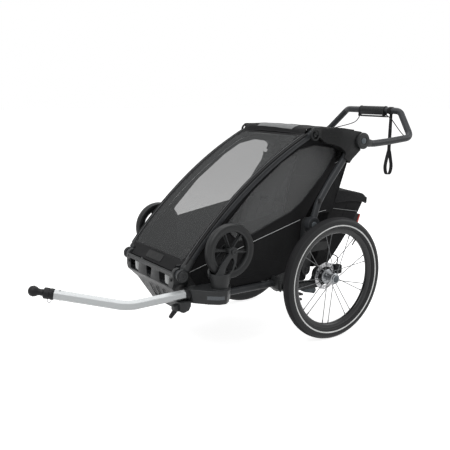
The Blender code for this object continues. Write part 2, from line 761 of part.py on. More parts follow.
def build_bracket(body, tag, side):
    """Side bracket from the top pivot to the handlebar, with the arm to the upright."""
    top_y, top_z = TOP_PIVOT
    bar_y, bar_z = BAR_PIVOT
    crown = [(top_y + 0.100, top_z + 0.025, 0.1), (bar_y - 0.005, bar_z + 0.037, 0.03),
             (bar_y + 0.034, bar_z + 0.012, 0.03)]
    tail = [(bar_y + 0.030, bar_z - 0.022, 0.02), (bar_y - 0.010, bar_z - 0.040, 0.02),
            (0.116, 0.716, 0.05), (0.098, 0.688, 0.004), (0.060, 0.712, 0.004),
            (0.094, 0.748, 0.05), (0.040, 0.782, 0.06)]
    whole = rounded([(top_y - 0.024, top_z, 0.022), (top_y - 0.010, top_z + 0.027, 0.014), *crown,
                     *tail, (top_y - 0.010, top_z - 0.027, 0.02)], 0.01, steps=2)
    behind = rounded([(top_y + 0.034, top_z + 0.026, 0.0), *crown, *tail,
                      (top_y + 0.034, top_z - 0.034, 0.0)], 0.01, steps=2)
    clear_x = FRAME_X + TUBE_R + FACE_GAP
    bracket = side_plate("side_bracket_" + tag, side, whole, clear_x, BRACKET_OUT_X)
    core = side_plate("bracket_core", side, behind, BRACKET_IN_X, clear_x + 0.008, grow=-0.001)
    bracket = joined(bracket, core)
    taper = [(side * x, y) for x, y in ((BRACKET_TIP_X, -0.12), (BRACKET_TIP_X, -0.020),
                                        (BRACKET_OUT_X + 0.0005, 0.060), (0.30, 0.060),
                                        (0.30, -0.12))]
    taper = plate("bracket_taper", taper, "XY", 0.60, 0.95)
    hub_space = cross_rod("hub_space", side, BAR_HUB_IN_X - FACE_GAP, BAR_HUB_OUT_X + 0.02,
                          BAR_PIVOT, HUB_R + RUNNING * 2)
    swing = side_plate("neck_swing", side, neck_swing(0.09), BAR_HUB_IN_X - FACE_GAP,
                       BAR_HUB_OUT_X + 0.02)
    hoop = tube("rear_bore", rear_route(), UPRIGHT_R + GAP)
    bracket = cut(bracket, taper, hub_space, swing, hoop)
    pin = cross_rod("top_pin", side, FRAME_X - 0.008, BRACKET_TIP_X - 0.002, TOP_PIVOT, PIN_R)
    cap = cross_rod("top_cap", side, BRACKET_TIP_X - 0.003, BRACKET_TIP_X + PIVOT_CAP_T,
                    TOP_PIVOT, PIVOT_CAP_R)
    bar_pin = cross_rod("bar_pin", side, BAR_HUB_IN_X - 0.006, BAR_HUB_IN_X + 0.012,
                        BAR_PIVOT, PIN_R)
    add(smooth(joined(bracket, pin, cap, bar_pin)), "moulding", body)


def build_roof(body):
    """Roof sheet between the side brackets."""
    top_y, top_z = TOP_PIVOT
    points = [(top_y - 0.006, top_z + 0.0215), (0.040, 0.8490), (0.120, 0.8435), (0.178, 0.8340)]
    outline = points + [(y, z - SHEET_T) for y, z in reversed(points)]
    add(side_plate("roof_panel", 1, outline, -ROOF_X, ROOF_X), "fabric", body)


def panel_y(z):
    """Rear face of the back panel at a height."""
    return 0.154 + (z - 0.711) * 0.37


def build_back_panel(body):
    """Back panel with side gussets, open towards the seat."""
    top, low = REAR_BAR[1] - UPRIGHT_R - 5 * GAP, 0.500
    shape = [(panel_y(top), top), (panel_y(low), low), (-0.036, low), (0.040, 0.631),
             (REAR_BAR[0], top)]
    panel = side_plate("back_panel", 1, shape, -BACK_X, BACK_X)
    hollow = side_plate("panel_hollow", 1, [
        (panel_y(top + 0.01) - SHEET_T, top + 0.01), (panel_y(low - 0.01) - SHEET_T, low - 0.01),
        (-0.2, low - 0.01), (-0.2, top + 0.01)], -BACK_X + SHEET_T, BACK_X - SHEET_T)
    add(cut(panel, hollow), "mesh", body)


def build_bag(body):
    """Cargo bag behind the back panel, open under its lid."""
    clear = 0.0006
    outer = [(panel_y(0.572) + clear, 0.572), (0.302, 0.529), (0.283, 0.500), (0.250, 0.448),
             (0.201, 0.384), (0.113, 0.276), (0.090, 0.262), (0.004, 0.262)]
    inner = [(panel_y(0.60) + clear + BAG_WALL, 0.60), (0.315, 0.60), (0.2985, 0.529),
             (0.2800, 0.500), (0.247, 0.450), (0.198, 0.387), (0.1105, 0.280), (0.088, 0.266),
             (0.008, 0.266)]
    bag = side_plate("cargo_bag", 1, outer, -BAG_X, BAG_X)
    hollow = side_plate("bag_hollow", 1, inner, -BAG_X + BAG_WALL, BAG_X - BAG_WALL)
    add(cut(bag, hollow), "fabric", body)

    hinge = (panel_y(0.590) + clear, 0.590)
    lid_body = anchor("bag_lid_axis", (0.0, *hinge), body)
    lid = side_plate("bag_lid", 1, rounded(
        [(*hinge, 0.0), (0.300, 0.548), (0.316, 0.540), (0.318, 0.512),
         (0.308, 0.512), (0.305, 0.5325), (hinge[0], hinge[1] - 0.014, 0.0)],
        0.004, steps=2), -LID_X, LID_X)
    add(smooth(lid), "fabric", lid_body)


def build_links():
    """Folding links between the base and the knee hubs, with the bag arms."""
    body = anchor("knee_link_axis", (0.0, *LINK_PIVOT), "trailer")
    for tag, side in SIDES:
        link = side_plate("knee_link_" + tag, side,
                          capsule(KNEE_PIVOT, LINK_TOP_R, LINK_PIVOT, LINK_FOOT_R, 7),
                          LINK_IN_X, LINK_OUT_X)
        middle = (KNEE_PIVOT[0] + LINK_PIVOT[0]) / 2
        arm = side_plate("bag_arm", side, rounded(
            [(middle, 0.350), (BAG_ARM_REACH, 0.352), (BAG_ARM_REACH, 0.386), (middle, 0.392)],
            0.006, steps=1), LINK_IN_X + 0.002, LINK_OUT_X - 0.001)
        bore = cross_rod("link_bore", side, LINK_IN_X - 0.01, LINK_OUT_X - 0.004 + FACE_GAP,
                         LINK_PIVOT, PIN_R + RUNNING)
        add(smooth(cut(joined(link, arm), bore)), "moulding", body)


def bar_neck(side, radius):
    """Collar that leads the handlebar tube into its hub."""
    x = (BAR_HUB_IN_X + BAR_HUB_OUT_X) / 2
    along = (Vector((BAR_LEAD_X, *BAR_LEAD)) - Vector((x, *BAR_PIVOT))).normalized()
    a = Vector((side * x, *BAR_PIVOT))
    return rod("bar_neck", a, a + Vector((side * along.x, along.y, along.z)) * BAR_NECK, radius)


def build_handlebar():
    """Handlebar with hubs, grip, brake lever, upper cables and wrist strap."""
    body = anchor("handlebar_axis", (0.0, *BAR_PIVOT), "rear_frame_axis")
    add(smooth(tube("handlebar_tube", bar_route(), BAR_R)), "frame", body)
    for tag, side in SIDES:
        hub = cross_rod("handlebar_hub_" + tag, side, BAR_HUB_IN_X, BAR_HUB_OUT_X, BAR_PIVOT,
                        HUB_R)
        hub = joined(hub, bar_neck(side, NECK_R))
        route = bar_route(early=GAP)
        route = route[:6] if side > 0 else route[-6:]
        tube_bore = tube("tube_bore", route, BAR_R + GAP)
        pin_bore = cross_rod("pin_bore", side, BAR_HUB_IN_X - 0.01, BAR_HUB_IN_X + 0.0125,
                             BAR_PIVOT, PIN_R + RUNNING)
        recess = cross_rod("hub_recess", side,
                           BAR_HUB_OUT_X + BUTTON_PROUD - BUTTON_LENGTH - 0.0035,
                           BAR_HUB_OUT_X + 0.01, BAR_PIVOT, BUTTON_R + RUNNING)
        add(smooth(cut(hub, tube_bore, pin_bore, recess)), "moulding", body)
        build_button("hub_button_" + tag, side, BAR_PIVOT, BAR_HUB_OUT_X, body)
    build_grip(body)
    build_upper_cables(body)
    build_wrist_strap(body)
    return body


def build_grip(body):
    """Sleeve round the crossbar, and the brake lever pinned between its two ears."""
    y, z = BAR_TOP
    sleeve = rod("handlebar_grip", (GRIP_FROM_X, y, z), (GRIP_TO_X, y, z), GRIP_R)
    pivot = (y - 0.014, z - GRIP_R - LEVER_THICKNESS)
    extras, bores = [], []
    for end, inward in ((GRIP_FROM_X, 1), (GRIP_TO_X, -1)):
        inner = end + inward * LEVER_EAR_T
        extras.append(side_plate("lever_ear", 1, capsule(BAR_TOP, GRIP_R + 0.0015, pivot, 0.005, 6),
                                 min(end, inner), max(end, inner)))
        extras.append(cross_rod("lever_pin", 1, inner - inward * 0.002, inner + inward * 0.006,
                                pivot, LEVER_PIN_R, segments=8))
        bores.append(cross_rod("pin_bore", 1, inner - inward * 0.002, inner + inward * 0.0065,
                               pivot, LEVER_PIN_R + RUNNING, segments=8))
    bore = rod("grip_bore", (GRIP_FROM_X - 0.01, y, z), (GRIP_TO_X + 0.01, y, z), BAR_R + GAP)
    add(smooth(cut(joined(sleeve, *extras), bore)), "rubber", body)
    lever_body = anchor("brake_lever_axis", (0.0, *pivot), body)
    lever = side_plate("brake_lever", 1, rounded(
        [(y - 0.018, pivot[1] + 0.0045), (y + 0.020, pivot[1] - 0.001),
         (y + 0.022, pivot[1] - 0.007), (y - 0.018, pivot[1] - 0.0035)], 0.003, steps=2),
        GRIP_FROM_X + LEVER_EAR_T + GAP, GRIP_TO_X - LEVER_EAR_T - GAP)
    add(smooth(cut(lever, *bores)), "moulding", lever_body)


def build_upper_cables(body):
    """Brake cables from the grip's ears to the side tubes of the handlebar."""
    y, z = BAR_TOP
    drop = z - GRIP_R
    sag = [(0.0, -0.004, -0.0025), (0.005, -0.004, -0.0025), (0.012, 0.004, -0.010),
           (0.022, 0.0145, -0.022), (0.048, 0.0135, -0.046)]
    far = [(0.202, BAR_CORNER[0] + 0.003, BAR_CORNER[1] + 0.020),
           (0.248, BAR_CORNER[0] - 0.026, BAR_CORNER[1] + 0.0065)]
    for tag, side, start in (("left", 1, GRIP_TO_X + 3 * GAP),
                             ("right", -1, 3 * GAP - GRIP_FROM_X)):
        stretch = (0.248 - start) / 0.150
        route = [(side * (start + px * stretch), y + py, drop + pz) for px, py, pz in sag]
        route += [(side * px, py, pz) for px, py, pz in far]
        cable = tube("brake_cable_" + tag, flowing(route, 3), CABLE_R)
        add(smooth(cable), "webbing", body)


def bar_point(x):
    """Side-view point on the middle line of the handlebar's left half."""
    route = [Vector(point) for point in bar_route()]
    for a, b in zip(route, route[1:]):
        if a.x >= x > b.x and a.z > BAR_TOP[1] - BAR_R:
            point = a.lerp(b, (a.x - x) / (a.x - b.x))
            return point.y, point.z
    return BAR_TOP


def build_wrist_strap(body):
    """Wrist strap hanging from the crossbar, its two runs open into a loop."""
    x = 0.126
    y, z = bar_point(x)
    top = z - BAR_R - GAP
    near = STRAP_R + GAP / 2
    half = [(x, y - near, top), (x, y - near, z - 0.160), (x, y - 0.014, z - 0.215),
            (x, y - 0.019, z - 0.245), (x, y - 0.012, z - 0.279)]
    other = [(px, 2 * y - py, pz) for px, py, pz in reversed(half)]
    strap = tube("wrist_strap", flowing([*half, (x, y, z - 0.286), *other], 3), STRAP_R,
                 resolution=2)
    add(smooth(strap), "webbing", body)


def arm_low(y):
    """Height of the suspension arm's lower edge, which the adjuster slides along."""
    (y0, z0), (y1, z1) = (ARM_PIVOT[0] - 0.004, ARM_PIVOT[1] - 0.016), ARM_KNEE
    return z0 + (z1 - z0) * (y - y0) / (y1 - y0)


def build_suspension(tag, side):
    """Trailing arm with its axle, caliper, adjuster, brake line and wheel."""
    body = anchor("suspension_%s_axis" % tag, (0.0, *ARM_PIVOT), "trailer")
    axle = (0.0, WHEEL_RADIUS)
    front = ARM_PIVOT[0] - 0.004
    beam = rounded([(front, arm_low(front), 0.004), (*ARM_KNEE, 0.01),
                    (0.010, 0.222, 0.01), (0.062, 0.250, 0.004), (0.066, 0.282, 0.004),
                    (0.046, 0.284, 0.004), (0.018, 0.276, 0.01), (-0.022, 0.262, 0.01),
                    (-0.040, 0.228, 0.01), (front, 0.232, 0.004)], 0.01, steps=2)
    arm = side_plate("suspension_arm_" + tag, side, beam, ARM_IN_X, ARM_OUT_X)
    boss = cross_rod("arm_boss", side, ARM_IN_X, ARM_OUT_X, ARM_PIVOT, 0.0155)
    carrier = cross_rod("axle_carrier", side, ARM_IN_X, HUB_INNER_X - 0.005, axle, CARRIER_R)
    stub = cross_rod("axle_stub", side, ARM_OUT_X, HUB_OUTER_X - 0.011, axle, AXLE_R)
    bore = cross_rod("arm_bore", side, ARM_IN_X - 0.01, ARM_OUT_X + 0.01, ARM_PIVOT,
                     PIN_R + RUNNING)
    arm = cut(joined(arm, boss, carrier, stub), bore)
    add(smooth(arm), "moulding", body)

    half_disc = DISC_THICKNESS / 2 + 2 * FACE_GAP
    caliper = box("brake_caliper_" + tag, (*[span(side, ARM_OUT_X + GAP, 0.266)[0]], 0.046, 0.250),
                  (*[span(side, ARM_OUT_X + GAP, 0.266)[1]], 0.084, 0.288), bevel=0.004)
    slot = cross_rod("disc_slot", side, DISC_X - half_disc, DISC_X + half_disc, axle,
                     DISC_R + 0.0015, segments=40)
    add(smooth(cut(caliper, slot)), "moulding", body)

    adjuster_body = anchor("adjuster_%s_axis" % tag, (side * ARM_IN_X, -0.062, 0.19),
                           "suspension_%s_axis" % tag)
    adjuster = side_plate("suspension_adjuster_" + tag, side, rounded(
        [(-0.092, arm_low(-0.092) - GAP), (-0.034, arm_low(-0.034) - GAP), (-0.030, 0.188),
         (-0.040, 0.176),
         (-0.062, 0.183), (-0.092, 0.190)], 0.003, steps=2), ARM_IN_X + 0.002, ARM_OUT_X)
    add(smooth(adjuster), "button", adjuster_body)

    lead = [(0.213, BAG_ARM_REACH - 0.008, 0.3470), (0.221, 0.048, 0.332), (0.237, 0.072, 0.321),
            (0.243, 0.077, 0.307), (0.2425, 0.073, 0.2886)]
    line = tube("brake_line_" + tag, flowing([(side * x, y, z) for x, y, z in lead], 3), CABLE_R,
                resolution=2)
    add(smooth(line), "webbing", body)
    build_wheel(tag, side, "suspension_%s_axis" % tag)


def facing(bm, point):
    """Face of a mesh whose middle lies nearest to a point."""
    bm.faces.ensure_lookup_table()
    return min(bm.faces, key=lambda face: (face.calc_center_median() - point).length_squared)


def bridge_spoke(bm, start, end):
    """Grow a thin bar between the faces nearest to two points."""
    loops = []
    for point, other in ((start, end), (end, start)):
        face = facing(bm, point)
        middle, normal = face.calc_center_median(), face.normal.copy()
        sideways = Vector((1.0, 0.0, 0.0)).cross(normal).normalized()
        bmesh.ops.inset_individual(bm, faces=[face], thickness=0.0008)
        for vert in face.verts:
            lean = vert.co - middle
            vert.co = (middle + Vector((math.copysign(SPOKE_R, lean.x), 0.0, 0.0))
                       + sideways * math.copysign(SPOKE_R, lean.dot(sideways)))
        loops.append([edge for edge in face.edges])
        bmesh.ops.delete(bm, geom=[face], context="FACES_ONLY")
    bmesh.ops.bridge_loops(bm, edges=loops[0] + loops[1])


def build_wheel(tag, side, parent):
    """Main wheel: tyre, spoked wheel with its hub, brake disc and release button."""
    axle = (0.0, WHEEL_RADIUS)
    body = anchor("wheel_%s_axis" % tag, (side * WHEEL_X, *axle), parent)
    section = TYRE_SECTION / 2
    tyre_r = WHEEL_RADIUS - section
    steps = 6
    profile = [(side * WHEEL_X + section * math.cos(2 * math.pi * k / steps),
                tyre_r + section * math.sin(2 * math.pi * k / steps))
               for k in range(steps)]
    rise = WHEEL_RADIUS - max(r for _, r in profile)
    profile = [(x, r + rise if r > tyre_r + rise else r) for x, r in profile]
    add(smooth(ring("tyre_" + tag, profile, axle, 4 * SPOKE_PAIRS)), "rubber", body)

    rim_out = min(r for _, r in profile) - GAP
    rim_in = rim_out - RIM_DEPTH
    half = RIM_WIDTH / 2
    mid = side * WHEEL_X
    wheel = ring("main_wheel_" + tag, [(mid + x, r) for x, r in (
        (-half, rim_out), (half, rim_out), (half * 0.6, rim_in), (-half * 0.6, rim_in))],
        axle, 4 * SPOKE_PAIRS)
    bore = AXLE_R + RUNNING
    blind = HUB_OUTER_X - 0.010
    seat = HUB_OUTER_X - CAP_LENGTH - 0.0015
    hub = ring("wheel_hub", [(side * x, r) for x, r in (
        (seat, 0.0), (seat, CAP_R + RUNNING), (HUB_OUTER_X, CAP_R + RUNNING),
        (HUB_OUTER_X, HUB_END_R), (0.3100, HUB_FLANGE_R - 0.006),
        (0.3060, HUB_FLANGE_R - 0.006), (0.3040, HUB_SHELL_R), (0.2690, HUB_SHELL_R),
        (0.2670, HUB_FLANGE_R), (0.2620, HUB_FLANGE_R), (0.2610, HUB_FLANGE_R - 0.002),
        (HUB_INNER_X, HUB_FLANGE_R - 0.002), (HUB_INNER_X, bore), (blind, bore), (blind, 0.0))],
        axle, 2 * SPOKE_PAIRS)
    bm = bmesh.new()
    bm.from_mesh(wheel.data)
    bm.from_mesh(hub.data)
    bpy.data.objects.remove(hub, do_unlink=True)
    centre = Vector((0.0, *axle))
    pitch = 2 * math.pi / (4 * SPOKE_PAIRS)
    for k in range(2 * SPOKE_PAIRS):
        inboard = k % 2 == 0
        lean = 1.0 if inboard else -1.0
        at_hub = (2 * k + 1) * pitch
        at_rim = (2 * k + 0.5 + (0.0 if inboard else 1.0) + lean * (k % 4 < 2)) * pitch
        flange_x, flange_r = (0.2645, HUB_FLANGE_R) if inboard else (0.3080, HUB_FLANGE_R - 0.006)
        start = centre + Vector((side * flange_x, flange_r * math.cos(at_hub),
                                 flange_r * math.sin(at_hub)))
        end = centre + Vector((mid, rim_in * math.cos(at_rim), rim_in * math.sin(at_rim)))
        bridge_spoke(bm, start, end)
    bmesh.ops.recalc_face_normals(bm, faces=bm.faces)
    bm.to_mesh(wheel.data)
    bm.free()
    add(smooth(wheel), "rim", body)

    half_disc = DISC_THICKNESS / 2
    disc_in = HUB_FLANGE_R - 0.002 + GAP
    disc = ring("brake_disc_" + tag, [(side * DISC_X + x, r) for x, r in (
        (-half_disc, disc_in), (-half_disc, DISC_R), (half_disc, DISC_R), (half_disc, disc_in))],
        axle, 2 * SPOKE_PAIRS)
    add(smooth(disc), "steel", body)

    cap_body = anchor("axle_button_%s_axis" % tag, (side * HUB_OUTER_X, *axle),
                      "wheel_%s_axis" % tag)
    outer = HUB_OUTER_X + BUTTON_PROUD
    cap = cross_rod("axle_button_" + tag, side, outer - CAP_LENGTH, outer, axle, CAP_R)
    add(smooth(cap), "button", cap_body)


def build_caster(tag, side):
    """Stowed stroller wheel: a fork whose stem plugs into the wing, and its wheel."""
    x, y = side * STEM[0], STEM[1]
    body = anchor("caster_%s_axis" % tag, (x, y, WING_TOP_Z), "trailer")
    low = WING_TOP_Z + GAP
    fork = rod("stroller_fork_" + tag, (x, y, low), (x, y, CROWN_TOP_Z), CROWN_LOW_R, CROWN_TOP_R)
    stem = rod("fork_stem", (x, y, STEM_LOW_Z), (x, y, low + 0.01), STEM_R)
    inside = CASTER_WIDTH / 2 + FORK_GAP
    legs = []
    for toward in (-1, 1):
        leg = side_plate("fork_leg", 1, capsule((y + 0.004, low + 0.028), 0.027, CASTER_HUB, 0.016, 6),
                         x + toward * inside if toward > 0 else x - inside - FORK_LEG_T,
                         x + inside + FORK_LEG_T if toward > 0 else x - inside)
        legs.append(leg)
    pin = cross_rod("caster_pin", 1, x - inside - 0.002, x + inside + 0.002, CASTER_HUB, 0.004)
    space = cross_rod("wheel_space", 1, x - inside, x + inside, CASTER_HUB,
                      CASTER_R + FORK_GAP, segments=40)
    fork = cut(joined(fork, *legs), space)
    fork = joined(fork, pin, stem)
    slot = side_plate("leg_slot", 1, capsule((-0.520, 0.338), 0.010, (-0.502, 0.384), 0.004, 5),
                      x - 0.06, x + 0.06)
    add(smooth(cut(fork, slot)), "moulding", body)

    wheel_body = anchor("caster_wheel_%s_axis" % tag, (x, *CASTER_HUB), "caster_%s_axis" % tag)
    half = CASTER_WIDTH / 2
    outer = ring("stroller_wheel_" + tag, [(x + u, r) for u, r in (
        (-half, CASTER_R - 0.012), (-half * 0.5, CASTER_R), (half * 0.5, CASTER_R),
        (half, CASTER_R - 0.012), (half * 0.8, CASTER_R - 0.030),
        (-half * 0.8, CASTER_R - 0.030))], CASTER_HUB, 22)
    hub = ring("caster_hub", [(x + u, r) for u, r in (
        (-half, 0.0), (-half, 0.013), (half, 0.013), (half, 0.0))], CASTER_HUB, 16)
    spokes = bmesh.new()
    for k in range(CASTER_SPOKES):
        angle = 2 * math.pi * (k + 0.35) / CASTER_SPOKES
        middle = (0.010 + CASTER_R - 0.028) / 2
        place = (Matrix.Translation((x, *CASTER_HUB)) @ Matrix.Rotation(angle, 4, "X")
                 @ Matrix.Translation((0.0, 0.0, middle))
                 @ Matrix.Diagonal((half * 1.1, 0.010, CASTER_R - 0.038, 1.0)))
        bmesh.ops.create_cube(spokes, size=1.0, matrix=place)
    spoke_ring = from_bmesh("caster_spokes", spokes)
    wheel = joined(outer, spoke_ring, hub)
    bore = cross_rod("caster_bore", 1, x - 0.05, x + 0.05, CASTER_HUB, 0.004 + RUNNING)
    add(smooth(cut(wheel, bore)), "rubber", wheel_body)


def build_hitch():
    """Hitch arm, coupler with its strap eye, and the receiver's latch lever."""
    route = hitch_route()
    body = anchor("hitch_arm_axis", route[0], "trailer")
    add(smooth(tube("hitch_arm", route, HITCH_TUBE_R)), "aluminium", body)

    end = route[-1]
    along = (route[-1] - route[-2]).normalized()
    coupler_body = anchor("coupler_axis", end + along * 0.030, "hitch_arm_axis")
    a = end + along * GAP
    coupler = rod("hitch_coupler", a, a + along * 0.034, COUPLER_R, segments=16)
    neck = rod("coupler_neck", a + along * 0.030, a + along * 0.062, 0.011, segments=12)
    ball = bmesh.new()
    bmesh.ops.create_uvsphere(ball, u_segments=12, v_segments=8, radius=0.019,
                              matrix=Matrix.Translation(a + along * 0.070))
    eye_at = a + along * 0.018 - Vector((0.0, 0.0, COUPLER_R))
    eye = rod("strap_eye", eye_at - Vector((0.0, 0.0, 0.014)), eye_at + Vector((0.0, 0.0, 0.008)),
              0.006, segments=12)
    coupler = joined(coupler, neck, from_bmesh("coupler_ball", ball), eye)
    add(smooth(coupler), "moulding", coupler_body)

    latch_body = anchor("latch_axis", (route[0].x, *LATCH), "trailer")
    tip = (LATCH[0] - 0.025, LATCH[1] - 0.0275)
    lever = side_plate("receiver_latch", 1, capsule(LATCH, LATCH_R, tip, 0.0055, 7),
                       route[0].x - LATCH_HALF, route[0].x + LATCH_HALF)
    add(smooth(lever), "moulding", latch_body)


def seat_section(s):
    """Side-view middle point and normal of the seat at a share of its length."""
    path = [Vector((0.0, y, z)) for y, z in ((-0.440, 0.335), (-0.330, 0.312), (-0.215, 0.318),
                                             (-0.160, 0.385), (-0.105, 0.540), (-0.035, 0.735))]
    route = flowing(path, 8)
    at = min(int(s * (len(route) - 1)), len(route) - 2)
    share = s * (len(route) - 1) - at
    point = route[at].lerp(route[at + 1], share)
    along = (route[at + 1] - route[at]).normalized()
    return point, Vector((0.0, -along.z, along.y))


def seat_lift(s, u):
    """Half thickness of the seat at a share of its length and of its half width."""
    channel = 1.0 - 0.45 * math.exp(-(math.sin(math.pi * s * 5) / 0.30) ** 2)
    crown = (1.0 - abs(u) ** 3.0) ** 0.6
    edge = min(1.0, 6.0 * min(s, 1 - s) + 0.15)
    return SEAT_T / 2 * (0.12 + 0.88 * crown * channel) * edge


def build_seat():
    """Padded sling seat with crowned, channelled cushions, and its harness."""
    rows, columns = 20, 8
    bm = bmesh.new()
    sheets = []
    for face in (1, -1):
        sheet = []
        for i in range(rows + 1):
            s = i / rows
            point, normal = seat_section(s)
            pulled = SEAT_X - 0.010 * math.sin(math.pi * s * 5) ** 2
            row = []
            for j in range(columns + 1):
                u = 2 * j / columns - 1
                lift = normal * seat_lift(s, u) * face
                row.append(bm.verts.new(point + lift + Vector((u * pulled, 0, 0))))
            sheet.append(row)
        sheets.append(sheet)
    top, bottom = sheets
    for i in range(rows):
        for j in range(columns):
            bm.faces.new((top[i][j], top[i][j + 1], top[i + 1][j + 1], top[i + 1][j]))
            bm.faces.new((bottom[i][j], bottom[i + 1][j], bottom[i + 1][j + 1], bottom[i][j + 1]))
        for j, flip in ((0, False), (columns, True)):
            quad = (top[i][j], top[i + 1][j], bottom[i + 1][j], bottom[i][j])
            bm.faces.new(quad[::-1] if flip else quad)
    for i, flip in ((0, True), (rows, False)):
        for j in range(columns):
            quad = (top[i][j], top[i][j + 1], bottom[i][j + 1], bottom[i][j])
            bm.faces.new(quad[::-1] if flip else quad)
    bmesh.ops.recalc_face_normals(bm, faces=bm.faces)
    seat = from_bmesh("seat_cushion", bm)
    apron = box("seat_apron", (-SEAT_APRON_X, BASE_REAR_Y - SHEET_T, BASE_Z + BASE_TUBE_R + GAP),
                (SEAT_APRON_X, BASE_REAR_Y, 0.310))
    add(smooth(joined(seat, apron), 60), "fabric", "trailer")
    build_harness()


def build_harness():
    """Shoulder straps, crotch strap and buckle, lying over the cushions."""
    def over(s, x, lift):
        point, normal = seat_section(s)
        return point + normal * (seat_lift(s, x / SEAT_X) + lift) + Vector((x, 0.0, 0.0))

    clear = STRAP_R + 0.004
    close = STRAP_R + GAP
    buckle_at = over(0.52, 0.0, 0.026)
    straps = []
    for side in (1, -1):
        points = [over(0.93, side * 0.045, close), over(0.84, side * 0.046, clear),
                  over(0.72, side * 0.044, clear + 0.002), over(0.62, side * 0.030, clear + 0.012),
                  buckle_at + Vector((side * 0.008, 0.0, 0.0))]
        straps.append(tube("shoulder_strap", flowing(points, 2), STRAP_R, resolution=1))
    points = [over(0.30, 0.0, close), over(0.40, 0.0, clear + 0.006), buckle_at]
    straps.append(tube("crotch_strap", flowing(points, 3), STRAP_R, resolution=1))
    half = Vector((0.018, 0.009, 0.018))
    buckle = box("harness", buckle_at - half, buckle_at + half, bevel=0.004)
    add(smooth(joined(buckle, *straps)), "webbing", "trailer")


def build_side_panels():
    """Fabric side panels between the front hoop, the base and the upright."""
    under = -TUBE_R - 0.0025
    pillar = [(*arch(k / 8, under), 0.0) for k in range(1, 8)]
    low = BASE_Z + 0.010
    shape = rounded([(-0.624, 0.318, 0.01), *pillar, (-0.050, 0.782, 0.02),
                     (0.040, 0.768, 0.03), (0.078, 0.742, 0.02), (0.030, 0.668, 0.03),
                     (-0.058, 0.545, 0.02), (-0.092, 0.495, 0.02), (-0.103, 0.312, 0.01),
                     (-0.262, 0.302, 0.005), (-0.262, low, 0.004), (-0.572, low, 0.004),
                     (-0.572, 0.298, 0.004), (-0.624, 0.298, 0.004)], 0.01, steps=2)
    for tag, side in SIDES:
        panel = side_plate("side_panel_" + tag, side, shape, SIDE_X - SHEET_T, SIDE_X)
        loop = tube("base_bore", base_route(), BASE_TUBE_R + GAP, cyclic=True)
        add(cut(panel, loop), "fabric", "trailer")


def centre_length():
    """Slide the trailer along Y until its length is centred on the origin."""
    bpy.context.view_layer.update()
    ends = [(piece.matrix_world @ vert.co).y for piece in PARTS.objects
            for vert in piece.data.vertices]
    ANCHORS["trailer"][0].location.y -= (min(ends) + max(ends)) / 2


def main():
    """Build every piece of the trailer."""
    build_base()
    build_pedal()
    build_front_frame()
    build_rear_frame()
    build_links()
    build_handlebar()
    for tag, side in SIDES:
        build_suspension(tag, side)
        build_caster(tag, side)
    build_hitch()
    build_seat()
    build_side_panels()
    centre_length()


main()
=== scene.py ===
"""Looks of a single-seat child bike trailer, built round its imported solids.

Sizes are in metres. Points are given as (x, y, z) from the ground under the wheel
axle, with the hitch towards -Y and the trailer's left side at +X, and are moved
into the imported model's frame when a piece is finished.
"""
from __future__ import annotations

import json
import logging
import math
from dataclasses import dataclass
from enum import Enum
from typing import Callable, Iterable, Optional, Sequence

import bmesh
import bpy
from mathutils import Matrix, Vector

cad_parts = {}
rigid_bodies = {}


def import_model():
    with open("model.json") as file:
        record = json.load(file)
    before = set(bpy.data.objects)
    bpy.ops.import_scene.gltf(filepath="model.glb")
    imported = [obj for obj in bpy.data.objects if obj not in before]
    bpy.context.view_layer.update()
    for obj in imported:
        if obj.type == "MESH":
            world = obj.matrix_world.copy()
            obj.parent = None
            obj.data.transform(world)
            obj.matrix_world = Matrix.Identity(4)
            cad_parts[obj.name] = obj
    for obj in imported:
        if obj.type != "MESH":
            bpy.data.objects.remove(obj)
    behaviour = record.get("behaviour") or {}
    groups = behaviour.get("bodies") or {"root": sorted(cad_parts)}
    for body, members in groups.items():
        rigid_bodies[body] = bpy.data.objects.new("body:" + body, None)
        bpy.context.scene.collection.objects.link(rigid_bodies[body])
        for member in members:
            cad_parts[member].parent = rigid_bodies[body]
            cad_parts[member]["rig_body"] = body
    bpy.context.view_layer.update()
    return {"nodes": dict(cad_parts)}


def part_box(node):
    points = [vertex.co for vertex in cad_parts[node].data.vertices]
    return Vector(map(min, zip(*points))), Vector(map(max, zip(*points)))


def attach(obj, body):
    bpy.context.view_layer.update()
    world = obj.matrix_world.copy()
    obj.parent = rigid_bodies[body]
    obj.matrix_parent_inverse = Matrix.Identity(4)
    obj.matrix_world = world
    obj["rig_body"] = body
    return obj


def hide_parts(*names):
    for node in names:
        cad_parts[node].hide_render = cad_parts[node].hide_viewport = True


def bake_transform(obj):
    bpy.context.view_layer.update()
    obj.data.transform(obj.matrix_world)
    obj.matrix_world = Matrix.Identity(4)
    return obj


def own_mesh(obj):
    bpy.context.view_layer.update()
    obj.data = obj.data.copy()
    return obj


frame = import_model()
AXLE_Y = (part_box("tyre_left")[0].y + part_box("tyre_left")[1].y) / 2
LOG = logging.getLogger("trailer")

Mesh = bmesh.types.BMesh
Point = Sequence[float]
Place = Callable[[float, float], Vector]

TAU = 2 * math.pi
SIDES = (("left", 1), ("right", -1))


